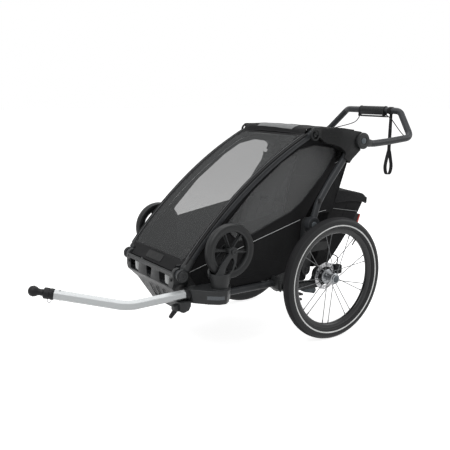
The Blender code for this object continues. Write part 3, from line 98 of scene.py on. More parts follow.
# ---------------------------------------------------------------- shared sizes
@dataclass(frozen=True)
class Layout:
    """Sizes that several sub-assemblies share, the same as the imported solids'."""

    front_pivot: tuple[float, float] = (-0.654, 0.339)
    top_pivot: tuple[float, float] = (-0.059, 0.8232)
    hoop_rise: float = 0.045
    bar_pivot: tuple[float, float] = (0.174, 0.7935)
    knee_pivot: tuple[float, float] = (-0.069, 0.4695)
    bar_top: tuple[float, float] = (0.478, 0.908)
    frame_x: float = 0.204
    tube_r: float = 0.014
    base_z: float = 0.243
    upright_x: float = 0.2385
    rear_bar: tuple[float, float] = (0.121, 0.782)
    side_x: float = 0.1995
    cover_x: float = 0.2177

    def arch(self, share: float, lift: float = 0.0) -> tuple[float, float]:
        """Side-view point on the front hoop.

        Args:
            share: Place along the chord from the front pivot to the top pivot.
            lift: Distance outward from the hoop's middle line.

        Returns:
            The (y, z) pair.
        """
        a, b = Vector(self.front_pivot), Vector(self.top_pivot)
        along = (b - a).normalized()
        outward = Vector((-along.y, along.x))
        rise = 4 * self.hoop_rise * share * (1 - share)
        return tuple(a.lerp(b, share) + outward * (rise + lift))

    @property
    def chord(self) -> float:
        """Distance between the front hoop's two pivots."""
        return (Vector(self.top_pivot) - Vector(self.front_pivot)).length


LAYOUT = Layout()


def at(x: float, y: float, z: float) -> Vector:
    """Point given from under the axle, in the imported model's frame."""
    return Vector((x, y + AXLE_Y, z))


# -------------------------------------------------------------------- finishes
class Grain(Enum):
    """Surface patterns that a finish can have."""

    MOULDED = "moulded"
    POWDER = "powder"
    WEAVE = "weave"
    NET = "net"
    WEBBING = "webbing"
    RUBBER = "rubber"
    BRUSHED = "brushed"
    PRISM = "prism"


class NodeBench:
    """Adds and joins the nodes of one material."""

    def __init__(self, name: str) -> None:
        """Start a material with its Principled shader.

        Args:
            name: The material's name.
        """
        self.material = bpy.data.materials.new(name)
        self.material.use_nodes = True
        self.tree = self.material.node_tree
        self.shader = self.tree.nodes["Principled BSDF"]
        self.coordinates = self.tree.nodes.new("ShaderNodeTexCoord")

    def new(self, kind: str, inputs: Optional[dict] = None, **settings) -> bpy.types.Node:
        """Add a node.

        Args:
            kind: The node's type, without its ShaderNode prefix.
            inputs: Values and outputs for its sockets, by name or index.
            **settings: Attributes of the node.

        Returns:
            The node.
        """
        node = self.tree.nodes.new("ShaderNode" + kind)
        for key, value in settings.items():
            setattr(node, key, value)
        for key, value in (inputs or {}).items():
            if isinstance(value, bpy.types.NodeSocket):
                self.tree.links.new(value, node.inputs[key])
            else:
                node.inputs[key].default_value = value
        return node

    def join(self, output: bpy.types.NodeSocket, socket: str) -> None:
        """Lead an output into one of the shader's sockets."""
        self.tree.links.new(output, self.shader.inputs[socket])

    def noise(self, scale: float, detail: float = 3.0, uv: bool = False) -> bpy.types.NodeSocket:
        """Noise pattern on the piece's own coordinates."""
        vector = self.coordinates.outputs["UV" if uv else "Object"]
        node = self.new("TexNoise", {"Vector": vector, "Scale": scale, "Detail": detail})
        return node.outputs["Fac"]

    def wave(self, period: float, direction: str, uv: bool = True) -> bpy.types.NodeSocket:
        """Row of ridges with a period in metres."""
        vector = self.coordinates.outputs["UV" if uv else "Object"]
        node = self.new("TexWave", {"Vector": vector, "Scale": TAU / 20 / period,
                                    "Distortion": 0.0}, bands_direction=direction)
        return node.outputs["Fac"]

    def maths(self, operation: str, a, b=0.0) -> bpy.types.NodeSocket:
        """One sum on two values or outputs."""
        return self.new("Math", {0: a, 1: b}, operation=operation).outputs[0]

    def spread(self, value, low: float, high: float, to_low: float, to_high: float):
        """Map an output from one range to another, held inside it."""
        node = self.new("MapRange", {"Value": value, "From Min": low, "From Max": high,
                                     "To Min": to_low, "To Max": to_high})
        return node.outputs["Result"]

    def blend(self, share, a: Point, b: Point) -> bpy.types.NodeSocket:
        """Mix two colours by an output."""
        node = self.new("Mix", data_type="RGBA")
        self.tree.links.new(share, node.inputs["Factor"])
        for socket, value in ((node.inputs[6], a), (node.inputs[7], b)):
            if isinstance(value, bpy.types.NodeSocket):
                self.tree.links.new(value, socket)
            else:
                socket.default_value = (*value, 1.0)
        return node.outputs[2]

    def bump(self, height, strength: float, distance: float = 0.001) -> None:
        """Give the shader a bump from a height pattern."""
        node = self.new("Bump", {"Height": height, "Strength": strength, "Distance": distance})
        self.join(node.outputs["Normal"], "Normal")


@dataclass(frozen=True)
class Finish:
    """Colour, gloss and pattern of one material of the trailer."""

    name: str
    slot: str
    colour: tuple[float, float, float]
    roughness: float
    grain: Grain
    metallic: float = 0.0
    depth: float = 0.25
    period: float = 0.0012
    cover: float = 1.0
    gloss: float = 0.20

    def material(self) -> bpy.types.Material:
        """The finish's material, made once.

        Returns:
            The node material.
        """
        found = bpy.data.materials.get(self.name)
        if found:
            return found
        bench = NodeBench(self.name)
        bench.shader.inputs["Metallic"].default_value = self.metallic
        if self.metallic == 0.0:
            bench.shader.inputs["Specular IOR Level"].default_value = self.gloss
        {Grain.MOULDED: self._moulded, Grain.POWDER: self._powder, Grain.WEAVE: self._weave,
         Grain.NET: self._net, Grain.WEBBING: self._webbing, Grain.RUBBER: self._rubber,
         Grain.BRUSHED: self._brushed, Grain.PRISM: self._prism}[self.grain](bench)
        bench.material.diffuse_color = (*self.colour, 1.0)
        return bench.material

    def _shade(self, factor: float) -> tuple[float, float, float]:
        """The finish's colour made lighter or darker."""
        return tuple(min(1.0, c * factor) for c in self.colour)

    def _moulded(self, bench: NodeBench) -> None:
        """Moulded plastic: fine grain, and a painted highlight that makes convex edges a little
        lighter.
        """
        patches = bench.noise(14.0, 4.0)
        tone = bench.blend(bench.spread(patches, 0.3, 0.7, 0.0, 1.0), self._shade(0.88),
                           self._shade(1.12))
        edge = bench.new("NewGeometry").outputs["Pointiness"]
        # painted highlight: convex edges, picked out by pointiness, are mixed towards a lighter
        # colour
        edge_highlight = bench.spread(edge, 0.53, 0.60, 0.0, 0.45)
        bench.join(bench.blend(edge_highlight, tone, self._shade(1.9)), "Base Color")
        bench.join(bench.spread(bench.noise(60.0), 0.3, 0.7, self.roughness - 0.06,
                                self.roughness + 0.06), "Roughness")
        bench.bump(bench.noise(1400.0, 1.0), self.depth, 0.0004)

    def _powder(self, bench: NodeBench) -> None:
        """Powder coat: a faint orange peel."""
        bench.join(bench.blend(bench.noise(9.0), self._shade(0.92), self._shade(1.08)),
                   "Base Color")
        bench.join(bench.spread(bench.noise(35.0), 0.3, 0.7, self.roughness - 0.05,
                                self.roughness + 0.07), "Roughness")
        bench.bump(bench.noise(700.0, 1.0), self.depth, 0.0003)

    def _weave(self, bench: NodeBench) -> None:
        """Plain woven cloth with faint slubs and a soft sheen."""
        warp = bench.wave(self.period, "X")
        weft = bench.wave(self.period, "Y")
        thread = bench.maths("MAXIMUM", warp, weft)
        cross = bench.maths("MULTIPLY", warp, weft)
        height = bench.maths("SUBTRACT", thread, bench.maths("MULTIPLY", cross, 0.6))
        slub = bench.spread(bench.noise(28.0, 5.0, uv=True), 0.35, 0.7, 0.0, 1.0)
        tone = bench.blend(slub, self._shade(0.85), self._shade(1.2))
        bench.join(bench.blend(bench.spread(height, 0.0, 1.0, 0.0, 0.5), tone,
                               self._shade(1.5)), "Base Color")
        bench.join(bench.spread(slub, 0.0, 1.0, self.roughness, self.roughness - 0.08),
                   "Roughness")
        bench.shader.inputs["Specular IOR Level"].default_value = 0.18
        bench.shader.inputs["Sheen Weight"].default_value = 0.03
        bench.shader.inputs["Sheen Roughness"].default_value = 0.5
        bench.bump(height, self.depth, 0.0004)

    def _net(self, bench: NodeBench) -> None:
        """See-through net: threads both ways, with air between them."""
        across = bench.wave(self.period, "X")
        along = bench.wave(self.period, "Y")
        hole = bench.maths("MULTIPLY", across, along)
        level = self.cover
        alpha = bench.spread(hole, 0.0, 0.6, level + 0.12, level - 0.12)
        tone = bench.blend(bench.noise(6.0, 3.0, uv=True), self._shade(0.92), self._shade(1.08))
        bench.join(tone, "Base Color")
        bench.join(alpha, "Alpha")
        bench.shader.inputs["Roughness"].default_value = self.roughness
        bench.shader.inputs["Specular IOR Level"].default_value = 0.1

    def _webbing(self, bench: NodeBench) -> None:
        """Flat webbing: ribs across, and a slanted twill."""
        rib = bench.wave(self.period * 1.6, "Y")
        twill = bench.wave(self.period * 1.1, "DIAGONAL")
        height = bench.maths("ADD", bench.maths("MULTIPLY", rib, 0.6),
                             bench.maths("MULTIPLY", twill, 0.4))
        bench.join(bench.blend(height, self._shade(0.7), self._shade(1.6)), "Base Color")
        bench.join(bench.spread(height, 0.0, 1.0, self.roughness, self.roughness - 0.1),
                   "Roughness")
        bench.shader.inputs["Specular IOR Level"].default_value = 0.2
        bench.shader.inputs["Sheen Weight"].default_value = 0.04
        bench.bump(height, self.depth, 0.0005)

    def _rubber(self, bench: NodeBench) -> None:
        """Rubber or foam: fine pores and a dusty bloom."""
        dust = bench.spread(bench.noise(22.0, 6.0), 0.42, 0.72, 0.0, 0.6)
        bench.join(bench.blend(dust, self.colour, self._shade(1.5)), "Base Color")
        bench.join(bench.spread(dust, 0.0, 1.0, self.roughness - 0.08, self.roughness + 0.08),
                   "Roughness")
        bench.bump(bench.noise(900.0, 2.0), self.depth, 0.0005)

    def _brushed(self, bench: NodeBench) -> None:
        """Metal with fine drawn lines."""
        vector = bench.new("Mapping", {"Vector": bench.coordinates.outputs["Object"],
                                       "Scale": (60.0, 12.0, 60.0)}).outputs["Vector"]
        lines = bench.new("TexNoise", {"Vector": vector, "Scale": 14.0, "Detail": 4.0})
        streak = lines.outputs["Fac"]
        bench.join(bench.blend(streak, self._shade(0.86), self._shade(1.08)), "Base Color")
        bench.join(bench.spread(streak, 0.3, 0.7, self.roughness - 0.07, self.roughness + 0.1),
                   "Roughness")
        bench.bump(streak, self.depth, 0.0002)

    def _prism(self, bench: NodeBench) -> None:
        """Reflector: small prisms under a clear coat."""
        vector = bench.coordinates.outputs["Object"]
        cells = bench.new("TexVoronoi", {"Vector": vector, "Scale": 450.0})
        shade = cells.outputs["Distance"]
        bench.join(bench.blend(bench.spread(shade, 0.0, 0.8, 0.0, 1.0), self._shade(1.15),
                               self._shade(0.7)), "Base Color")
        bench.shader.inputs["Roughness"].default_value = self.roughness
        bench.shader.inputs["Coat Weight"].default_value = 0.6
        bench.bump(shade, self.depth, 0.0006)


FRAME = Finish("frame_tube_coat", "frame_tube", (0.029, 0.031, 0.034), 0.40, Grain.POWDER)
RAIL = Finish("rail_line", "frame_tube", (0.100, 0.102, 0.105), 0.45, Grain.POWDER)
PLASTIC = Finish("moulded_dark", "dark_plastic", (0.0185, 0.0194, 0.0202), 0.46, Grain.MOULDED,
                 gloss=0.26)
PLASTIC_DEEP = Finish("moulded_black", "dark_plastic", (0.008, 0.008, 0.009), 0.50, Grain.MOULDED)
# painted shade: a darker copy of the moulded plastic, used on the side brackets
PLASTIC_SIDE_SHADED = Finish("moulded_side_painted_shade", "dark_plastic", (0.0085, 0.0089, 0.0093), 0.50,
                      Grain.MOULDED, gloss=0.18)
PATCH = Finish("bare_patch", "dark_plastic", (0.0078, 0.0081, 0.0085), 0.42, Grain.MOULDED,
               gloss=0.18)
CLOTH = Finish("woven_black", "black_fabric", (0.0058, 0.0059, 0.0064), 0.88, Grain.WEAVE,
               depth=0.35)
# painted light: the lid is the same black cloth, made paler to stand in for the light falling on
# its top
LID_CLOTH_TOPLIT = Finish("lid_cloth_painted_toplight", "black_fabric", (0.0120, 0.0124, 0.0132), 0.85, Grain.WEAVE,
                   depth=0.35)
PIPING = Finish("piping_grey", "black_fabric", (0.40, 0.41, 0.41), 0.6, Grain.WEBBING)
BINDING = Finish("binding_black", "black_fabric", (0.008, 0.008, 0.009), 0.8, Grain.WEBBING)
PADDING = Finish("seat_cloth", "black_fabric", (0.030, 0.031, 0.032), 0.9, Grain.WEAVE, depth=0.4,
                 period=0.0016)
LINER = Finish("inner_cloth", "black_fabric", (0.020, 0.021, 0.022), 0.9, Grain.WEAVE)
NET = Finish("front_net", "window_mesh", (0.092, 0.094, 0.095), 0.85, Grain.NET, cover=0.36)
# painted light: a paler copy of the front net, standing in for the light that the upright side
# windows lack
SIDE_NET_LIT = Finish("window_net_painted_light", "window_mesh", (0.205, 0.208, 0.210), 0.85, Grain.NET, cover=0.38)
ROOF_NET = Finish("roof_light", "window_mesh", (0.125, 0.128, 0.130), 0.6, Grain.WEAVE)
TYRE = Finish("tyre_side", "tyre_rubber", (0.0115, 0.0120, 0.0127), 0.55, Grain.RUBBER, gloss=0.22)
TREAD = Finish("tyre_tread", "tyre_rubber", (0.012, 0.012, 0.013), 0.80, Grain.RUBBER, depth=0.5)
STRIPE = Finish("tyre_stripe", "tyre_rubber", (0.70, 0.71, 0.70), 0.45, Grain.RUBBER, depth=0.1)
GRIP = Finish("grip_foam", "grip_rubber", (0.020, 0.021, 0.022), 0.8, Grain.RUBBER, depth=0.4)
SMALL_TYRE = Finish("small_tyre", "grip_rubber", (0.0125, 0.0131, 0.0137), 0.50, Grain.RUBBER,
                    gloss=0.24)
RIM = Finish("rim_coat", "wheel_alloy", (0.0125, 0.0130, 0.0140), 0.30, Grain.POWDER, gloss=0.35)
HUB = Finish("hub_silver", "disc_steel", (0.27, 0.28, 0.29), 0.30, Grain.BRUSHED, metallic=1.0)
SPOKE = Finish("spoke_steel", "wheel_alloy", (0.12, 0.124, 0.128), 0.40, Grain.BRUSHED,
               metallic=0.4)
STEEL = Finish("disc_steel_plate", "disc_steel", (0.40, 0.40, 0.41), 0.28, Grain.BRUSHED,
               metallic=1.0)
ALLOY = Finish("arm_alloy", "arm_aluminium", (0.44, 0.455, 0.46), 0.38, Grain.BRUSHED,
               metallic=0.35, depth=0.1)
BUTTON = Finish("button_plastic", "button_grey", (0.095, 0.108, 0.118), 0.5, Grain.MOULDED)
WEBBING = Finish("strap_webbing", "webbing", (0.011, 0.011, 0.012), 0.8, Grain.WEBBING, depth=0.5)
CABLE = Finish("cable_black", "cable_jacket", (0.010, 0.010, 0.011), 0.45, Grain.RUBBER, depth=0.1)
GLASS_GREY = Finish("reflector_grey", "button_grey", (0.20, 0.21, 0.21), 0.2, Grain.PRISM)
GLASS_DARK = Finish("reflector_dark", "button_grey", (0.060, 0.070, 0.080), 0.2, Grain.PRISM)
GLASS_RED = Finish("reflector_red", "button_grey", (0.62, 0.045, 0.020), 0.18, Grain.PRISM)


# ---------------------------------------------------------------- shape makers
def rounded(points: Iterable[Point], steps: int = 8, closed: bool = False) -> list[Vector]:
    """Row of points with its corners rounded.

    Args:
        points: Coordinates followed by the corner's radius.
        steps: Stretches to a quarter turn.
        closed: Whether the last point joins the first.

    Returns:
        The new row.
    """
    rows = [(Vector(p[:-1]), p[-1]) for p in points]
    route: list[Vector] = []
    for i, (here, size) in enumerate(rows):
        if size <= 0.0 or (not closed and i in (0, len(rows) - 1)):
            route.append(here)
            continue
        before = rows[i - 1][0] - here
        after = rows[(i + 1) % len(rows)][0] - here
        opening = before.angle(after)
        reach = min(size / math.tan(opening / 2), 0.45 * before.length, 0.45 * after.length)
        start, end = here + before.normalized() * reach, here + after.normalized() * reach
        parts = max(1, math.ceil(steps * (math.pi - opening) / (math.pi / 2)))
        for k in range(parts + 1):
            t = k / parts
            route.append(start * (1 - t) ** 2 + here * (2 * t * (1 - t)) + end * t ** 2)
    return route


def flowing(points: Iterable[Point], steps: int = 8) -> list[Vector]:
    """Smooth route through the points, with some steps between each two."""
    pts = [Vector(p) for p in points]
    ends = [pts[0] * 2 - pts[1], *pts, pts[-1] * 2 - pts[-2]]
    route = []
    for i in range(1, len(ends) - 2):
        a, b, c, d = ends[i - 1:i + 3]
        for k in range(steps):
            t = k / steps
            route.append(0.5 * (2 * b + (c - a) * t + (2 * a - 5 * b + 4 * c - d) * t ** 2
                                + (3 * b - a - 3 * c + d) * t ** 3))
    return route + [pts[-1]]


def mirrored(corners: Sequence[Point], steps: int = 8) -> list[Vector]:
    """Rounded route through the left half's corners and their mirror images."""
    both = [*corners, *[(-p[0], *p[1:]) for p in reversed(corners)]]
    return rounded(both, steps)


def tinted(bm: Mesh, index: int) -> Mesh:
    """Give every face of a mesh one of its piece's materials."""
    for face in bm.faces:
        face.material_index = index
    return bm


def gathered(*meshes: Mesh) -> Mesh:
    """Put several meshes into the first one."""
    whole = meshes[0]
    for other in meshes[1:]:
        carrier = bpy.data.meshes.new("carrier")
        other.to_mesh(carrier)
        other.free()
        whole.from_mesh(carrier)
        bpy.data.meshes.remove(carrier)
    return whole


def softened(bm: Mesh, offset: float, degrees: float = 35.0, segments: int = 2) -> Mesh:
    """Bevel every edge that turns by more than an angle.

    Args:
        bm: The mesh.
        offset: The bevel's width.
        degrees: The least turn between the edge's faces.
        segments: The bevel's steps.

    Returns:
        The same mesh.
    """
    limit = math.radians(degrees)
    sharp = [e for e in bm.edges if len(e.link_faces) == 2 and e.calc_face_angle(0.0) > limit]
    if sharp and offset > 0:
        bmesh.ops.bevel(bm, geom=sharp, offset=offset, segments=segments, affect="EDGES",
                        profile=0.5, material=-1, clamp_overlap=True)
    return bm


def lathe(profile: Iterable[Point], centre: Point, segments: int = 64) -> Mesh:
    """Turned piece about the X axis.

    Args:
        profile: Row of (x, radius) pairs, which closes when its ends lie off the axis.
        centre: The axis in side view.
        segments: Faces round the axis.

    Returns:
        The mesh.
    """
    rows = list(profile)
    bm = bmesh.new()
    knots = [bm.verts.new((x, centre[0], centre[1] + r)) for x, r in rows]
    edges = [bm.edges.new(pair) for pair in zip(knots, knots[1:])]
    if rows[0][1] > 1e-6:
        edges.append(bm.edges.new((knots[-1], knots[0])))
    bmesh.ops.spin(bm, geom=knots + edges, cent=(0.0, *centre), axis=(1.0, 0.0, 0.0), angle=TAU,
                   steps=segments, use_merge=True)
    bmesh.ops.remove_doubles(bm, verts=bm.verts, dist=1e-6)
    bmesh.ops.recalc_face_normals(bm, faces=bm.faces)
    return bm


def bar(start: Point, end: Point, radius: float, end_radius: Optional[float] = None,
        segments: int = 24, soft: float = 0.0) -> Mesh:
    """Round bar or cone between two points, with softened rims if asked."""
    start, end = Vector(start), Vector(end)
    along = end - start
    bm = bmesh.new()
    aim = along.to_track_quat("Z", "Y").to_matrix().to_4x4()
    turn = Matrix.Translation((start + end) / 2) @ aim
    bmesh.ops.create_cone(bm, cap_ends=True, segments=segments, radius1=radius,
                          radius2=radius if end_radius is None else end_radius,
                          depth=along.length, matrix=turn)
    return softened(bm, soft, 50.0)


def block(low: Point, high: Point, soft: float = 0.002, segments: int = 2) -> Mesh:
    """Box between two corners with softened edges."""
    low, high = Vector(low), Vector(high)
    bm = bmesh.new()
    bmesh.ops.create_cube(bm, size=1.0, matrix=Matrix.Translation((low + high) / 2)
                          @ Matrix.Diagonal((*(high - low), 1.0)))
    return softened(bm, soft, 50.0, segments)


def curve_mesh(curve: bpy.types.Curve) -> Mesh:
    """Mesh of a curve, with its doubles merged and its normals put right."""
    obj = bpy.data.objects.new("route", curve)
    bpy.context.scene.collection.objects.link(obj)
    graph = bpy.context.evaluated_depsgraph_get()
    graph.update()
    mesh = bpy.data.meshes.new_from_object(obj.evaluated_get(graph))
    bm = bmesh.new()
    bm.from_mesh(mesh)
    bpy.data.objects.remove(obj)
    bpy.data.curves.remove(curve)
    bpy.data.meshes.remove(mesh)
    bmesh.ops.remove_doubles(bm, verts=bm.verts, dist=1e-5)
    bmesh.ops.recalc_face_normals(bm, faces=bm.faces)
    return bm


def add_loop(curve: bpy.types.Curve, points: Sequence[Point], cyclic: bool) -> None:
    """Add one straight-run spline to a curve."""
    spline = curve.splines.new("POLY")
    spline.points.add(len(points) - 1)
    for knot, point in zip(spline.points, points):
        knot.co = (*point, 0.0, 1.0) if len(point) == 2 else (*point, 1.0)
    spline.use_cyclic_u = cyclic


def sweep(route: Sequence[Point], radius: float, sides: int = 16, cyclic: bool = False) -> Mesh:
    """Round tube along a route."""
    curve = bpy.data.curves.new("sweep", "CURVE")
    curve.dimensions = "3D"
    curve.bevel_depth = radius
    curve.bevel_resolution = max(0, (sides - 4) // 2)
    curve.use_fill_caps = not cyclic
    add_loop(curve, route, cyclic)
    return curve_mesh(curve)


TURNS = {
    "YZ": Matrix(((0, 0, 1, 0), (1, 0, 0, 0), (0, 1, 0, 0), (0, 0, 0, 1))),
    "XZ": Matrix(((1, 0, 0, 0), (0, 0, -1, 0), (0, 1, 0, 0), (0, 0, 0, 1))),
    "XY": Matrix.Identity(4),
}


def slab(loops: Sequence[Sequence[Point]], plane: str, low: float, high: float,
         soft: float = 0.0) -> Mesh:
    """Flat plate cut to an outline and its holes.

    Args:
        loops: The outline, then the holes.
        plane: The plane it is drawn in, YZ, XZ or XY.
        low: Its lower face along the plane's normal.
        high: Its upper face.
        soft: Width of the bevel on its edges.

    Returns:
        The mesh.
    """
    curve = bpy.data.curves.new("slab", "CURVE")
    curve.dimensions = "2D"
    curve.fill_mode = "BOTH"
    curve.extrude = (high - low) / 2
    for loop in loops:
        add_loop(curve, [tuple(p)[:2] for p in loop], True)
    bm = curve_mesh(curve)
    sign = -1.0 if plane == "XZ" else 1.0
    bmesh.ops.transform(bm, verts=bm.verts, matrix=TURNS[plane]
                        @ Matrix.Translation((0.0, 0.0, sign * (low + high) / 2)))
    bmesh.ops.dissolve_limit(bm, angle_limit=math.radians(1.0), verts=bm.verts, edges=bm.edges)
    return softened(bm, soft, 50.0)


def circle(centre: Point, radius: float, count: int = 48, wave: float = 0.0,
           waves: int = 0) -> list[tuple[float, float]]:
    """Points of a flat circle, wavy if asked."""
    row = []
    for k in range(count):
        angle = TAU * k / count
        r = radius + wave * math.cos(waves * angle)
        row.append((centre[0] + r * math.cos(angle), centre[1] + r * math.sin(angle)))
    return row


def cloth(loops: Sequence[Sequence[Point]], cell: float, place: Place, wall: float = 0.0) -> Mesh:
    """Sheet cut to flat outlines, with a grid of folds, laid in its place.

    Args:
        loops: The outline, then the holes, flat, in metres.
        cell: Spacing of the grid.
        place: Gives the point in space for each flat point.
        wall: Thickness, or nothing for a single layer.

    Returns:
        The mesh, with its flat points as its UV map.
    """
    curve = bpy.data.curves.new("cut", "CURVE")
    curve.dimensions = "2D"
    curve.fill_mode = "FRONT"
    for loop in loops:
        add_loop(curve, [tuple(p)[:2] for p in loop], True)
    bm = curve_mesh(curve)
    for axis in (0, 1):
        low = min(v.co[axis] for v in bm.verts)
        high = max(v.co[axis] for v in bm.verts)
        count = max(1, round((high - low) / cell))
        normal = Vector((1.0, 0.0, 0.0)) if axis == 0 else Vector((0.0, 1.0, 0.0))
        for k in range(1, count):
            bmesh.ops.bisect_plane(bm, geom=bm.verts[:] + bm.edges[:] + bm.faces[:], dist=1e-6,
                                   plane_co=normal * (low + (high - low) * k / count),
                                   plane_no=normal)
    layer = bm.loops.layers.uv.new("flat")
    for face in bm.faces:
        for loop in face.loops:
            loop[layer].uv = loop.vert.co.xy
    for vert in bm.verts:
        vert.co = place(vert.co.x, vert.co.y)
    bmesh.ops.recalc_face_normals(bm, faces=bm.faces)
    if wall:
        bmesh.ops.solidify(bm, geom=bm.faces[:], thickness=wall)
        bmesh.ops.recalc_face_normals(bm, faces=bm.faces)
    return bm


def ribbon(route: Sequence[Point], across: Sequence[Point], width: float, wall: float) -> Mesh:
    """Flat band along a route.

    Args:
        route: The middle line.
        across: The direction of its width at each point, or one for all.
        width: Its width.
        wall: Its thickness.

    Returns:
        The mesh, with its length and width as its UV map.
    """
    count = len(route)
    sides = list(across) if len(across) == count else [across[0]] * count
    lengths = [0.0]
    for a, b in zip(route, route[1:]):
        lengths.append(lengths[-1] + (Vector(b) - Vector(a)).length)
    bm = bmesh.new()
    bmesh.ops.create_grid(bm, x_segments=count - 1, y_segments=2, size=1.0)
    layer = bm.loops.layers.uv.new("flat")
    for face in bm.faces:
        for loop in face.loops:
            k = round((loop.vert.co.x + 1) / 2 * (count - 1))
            loop[layer].uv = (loop.vert.co.y * width / 2, lengths[k])
    for vert in bm.verts:
        k = round((vert.co.x + 1) / 2 * (count - 1))
        vert.co = Vector(route[k]) + Vector(sides[k]).normalized() * (vert.co.y * width / 2)
    bmesh.ops.recalc_face_normals(bm, faces=bm.faces)
    bmesh.ops.solidify(bm, geom=bm.faces[:], thickness=wall)
    bmesh.ops.recalc_face_normals(bm, faces=bm.faces)
    return bm


# ------------------------------------------------------------ finishing pieces
def finished(name: str, bm: Mesh, finishes: Sequence[Finish], body: Optional[str],
             stands_for: Sequence[str] = (), crease: float = 38.0) -> bpy.types.Object:
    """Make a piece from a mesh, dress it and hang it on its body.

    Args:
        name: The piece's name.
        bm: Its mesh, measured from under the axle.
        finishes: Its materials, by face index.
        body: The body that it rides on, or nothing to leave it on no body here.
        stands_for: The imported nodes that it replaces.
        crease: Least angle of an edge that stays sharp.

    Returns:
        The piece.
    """
    bmesh.ops.translate(bm, verts=bm.verts, vec=(0.0, AXLE_Y, 0.0))
    mesh = bpy.data.meshes.new(name)
    bm.to_mesh(mesh)
    bm.free()
    for finish in finishes:
        mesh.materials.append(finish.material())
    mesh.shade_smooth()
    mesh.set_sharp_from_angle(angle=math.radians(crease))
    obj = bpy.data.objects.new(name, mesh)
    bpy.context.scene.collection.objects.link(obj)
    if body:
        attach(obj, body)
    if stands_for:
        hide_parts(*stands_for)
    LOG.info("%s: %d faces, on %s", name, len(mesh.polygons), body or "two bodies")
    return obj


def refined(node: str, finish: Finish, soft: float = 0.0012, extras: Sequence[Mesh] = (),
            finishes: Sequence[Finish] = (), crease: float = 34.0,
            trims: Sequence[tuple[Point, Point]] = ()) -> bpy.types.Object:
    """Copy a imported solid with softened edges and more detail, and let it stand for it.

    Args:
        node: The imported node.
        finish: Its material.
        soft: Width of the bevel on its edges.
        extras: Details that join it.
        finishes: Further materials for the details.
        crease: Least angle of an edge that stays sharp.
        trims: Planes, as a point and the way out, past which the copy is cut off.

    Returns:
        The piece.
    """
    source = frame["nodes"][node]
    bm = bmesh.new()
    bm.from_mesh(source.data)
    bmesh.ops.translate(bm, verts=bm.verts, vec=(0.0, -AXLE_Y, 0.0))
    bmesh.ops.remove_doubles(bm, verts=bm.verts, dist=2e-5)
    bmesh.ops.dissolve_limit(bm, angle_limit=math.radians(0.6), verts=bm.verts, edges=bm.edges)
    tinted(bm, 0)
    for spot, outward in trims:
        bmesh.ops.bisect_plane(bm, geom=bm.verts[:] + bm.edges[:] + bm.faces[:], dist=1e-6,
                               plane_co=spot, plane_no=outward, clear_outer=True)
        bmesh.ops.holes_fill(bm, edges=[e for e in bm.edges if e.is_boundary], sides=0)
    softened(bm, soft)
    gathered(bm, *extras)
    return finished(node + "_dressed", bm, [finish, *finishes], source["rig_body"], [node], crease)


def bolt(side: int, x: float, point: Point, radius: float, height: float = 0.003) -> Mesh:
    """Round bolt head with a hexagon socket, on a face that looks outward."""
    y, z = point
    outer = x + height
    return lathe([(side * (x - 0.001), 0.0), (side * (x - 0.001), radius),
                  (side * (outer - 0.0008), radius), (side * outer, radius - 0.0008),
                  (side * outer, radius * 0.45), (side * (outer - 0.0015), radius * 0.42),
                  (side * (outer - 0.0015), 0.0)], (y, z), 24)


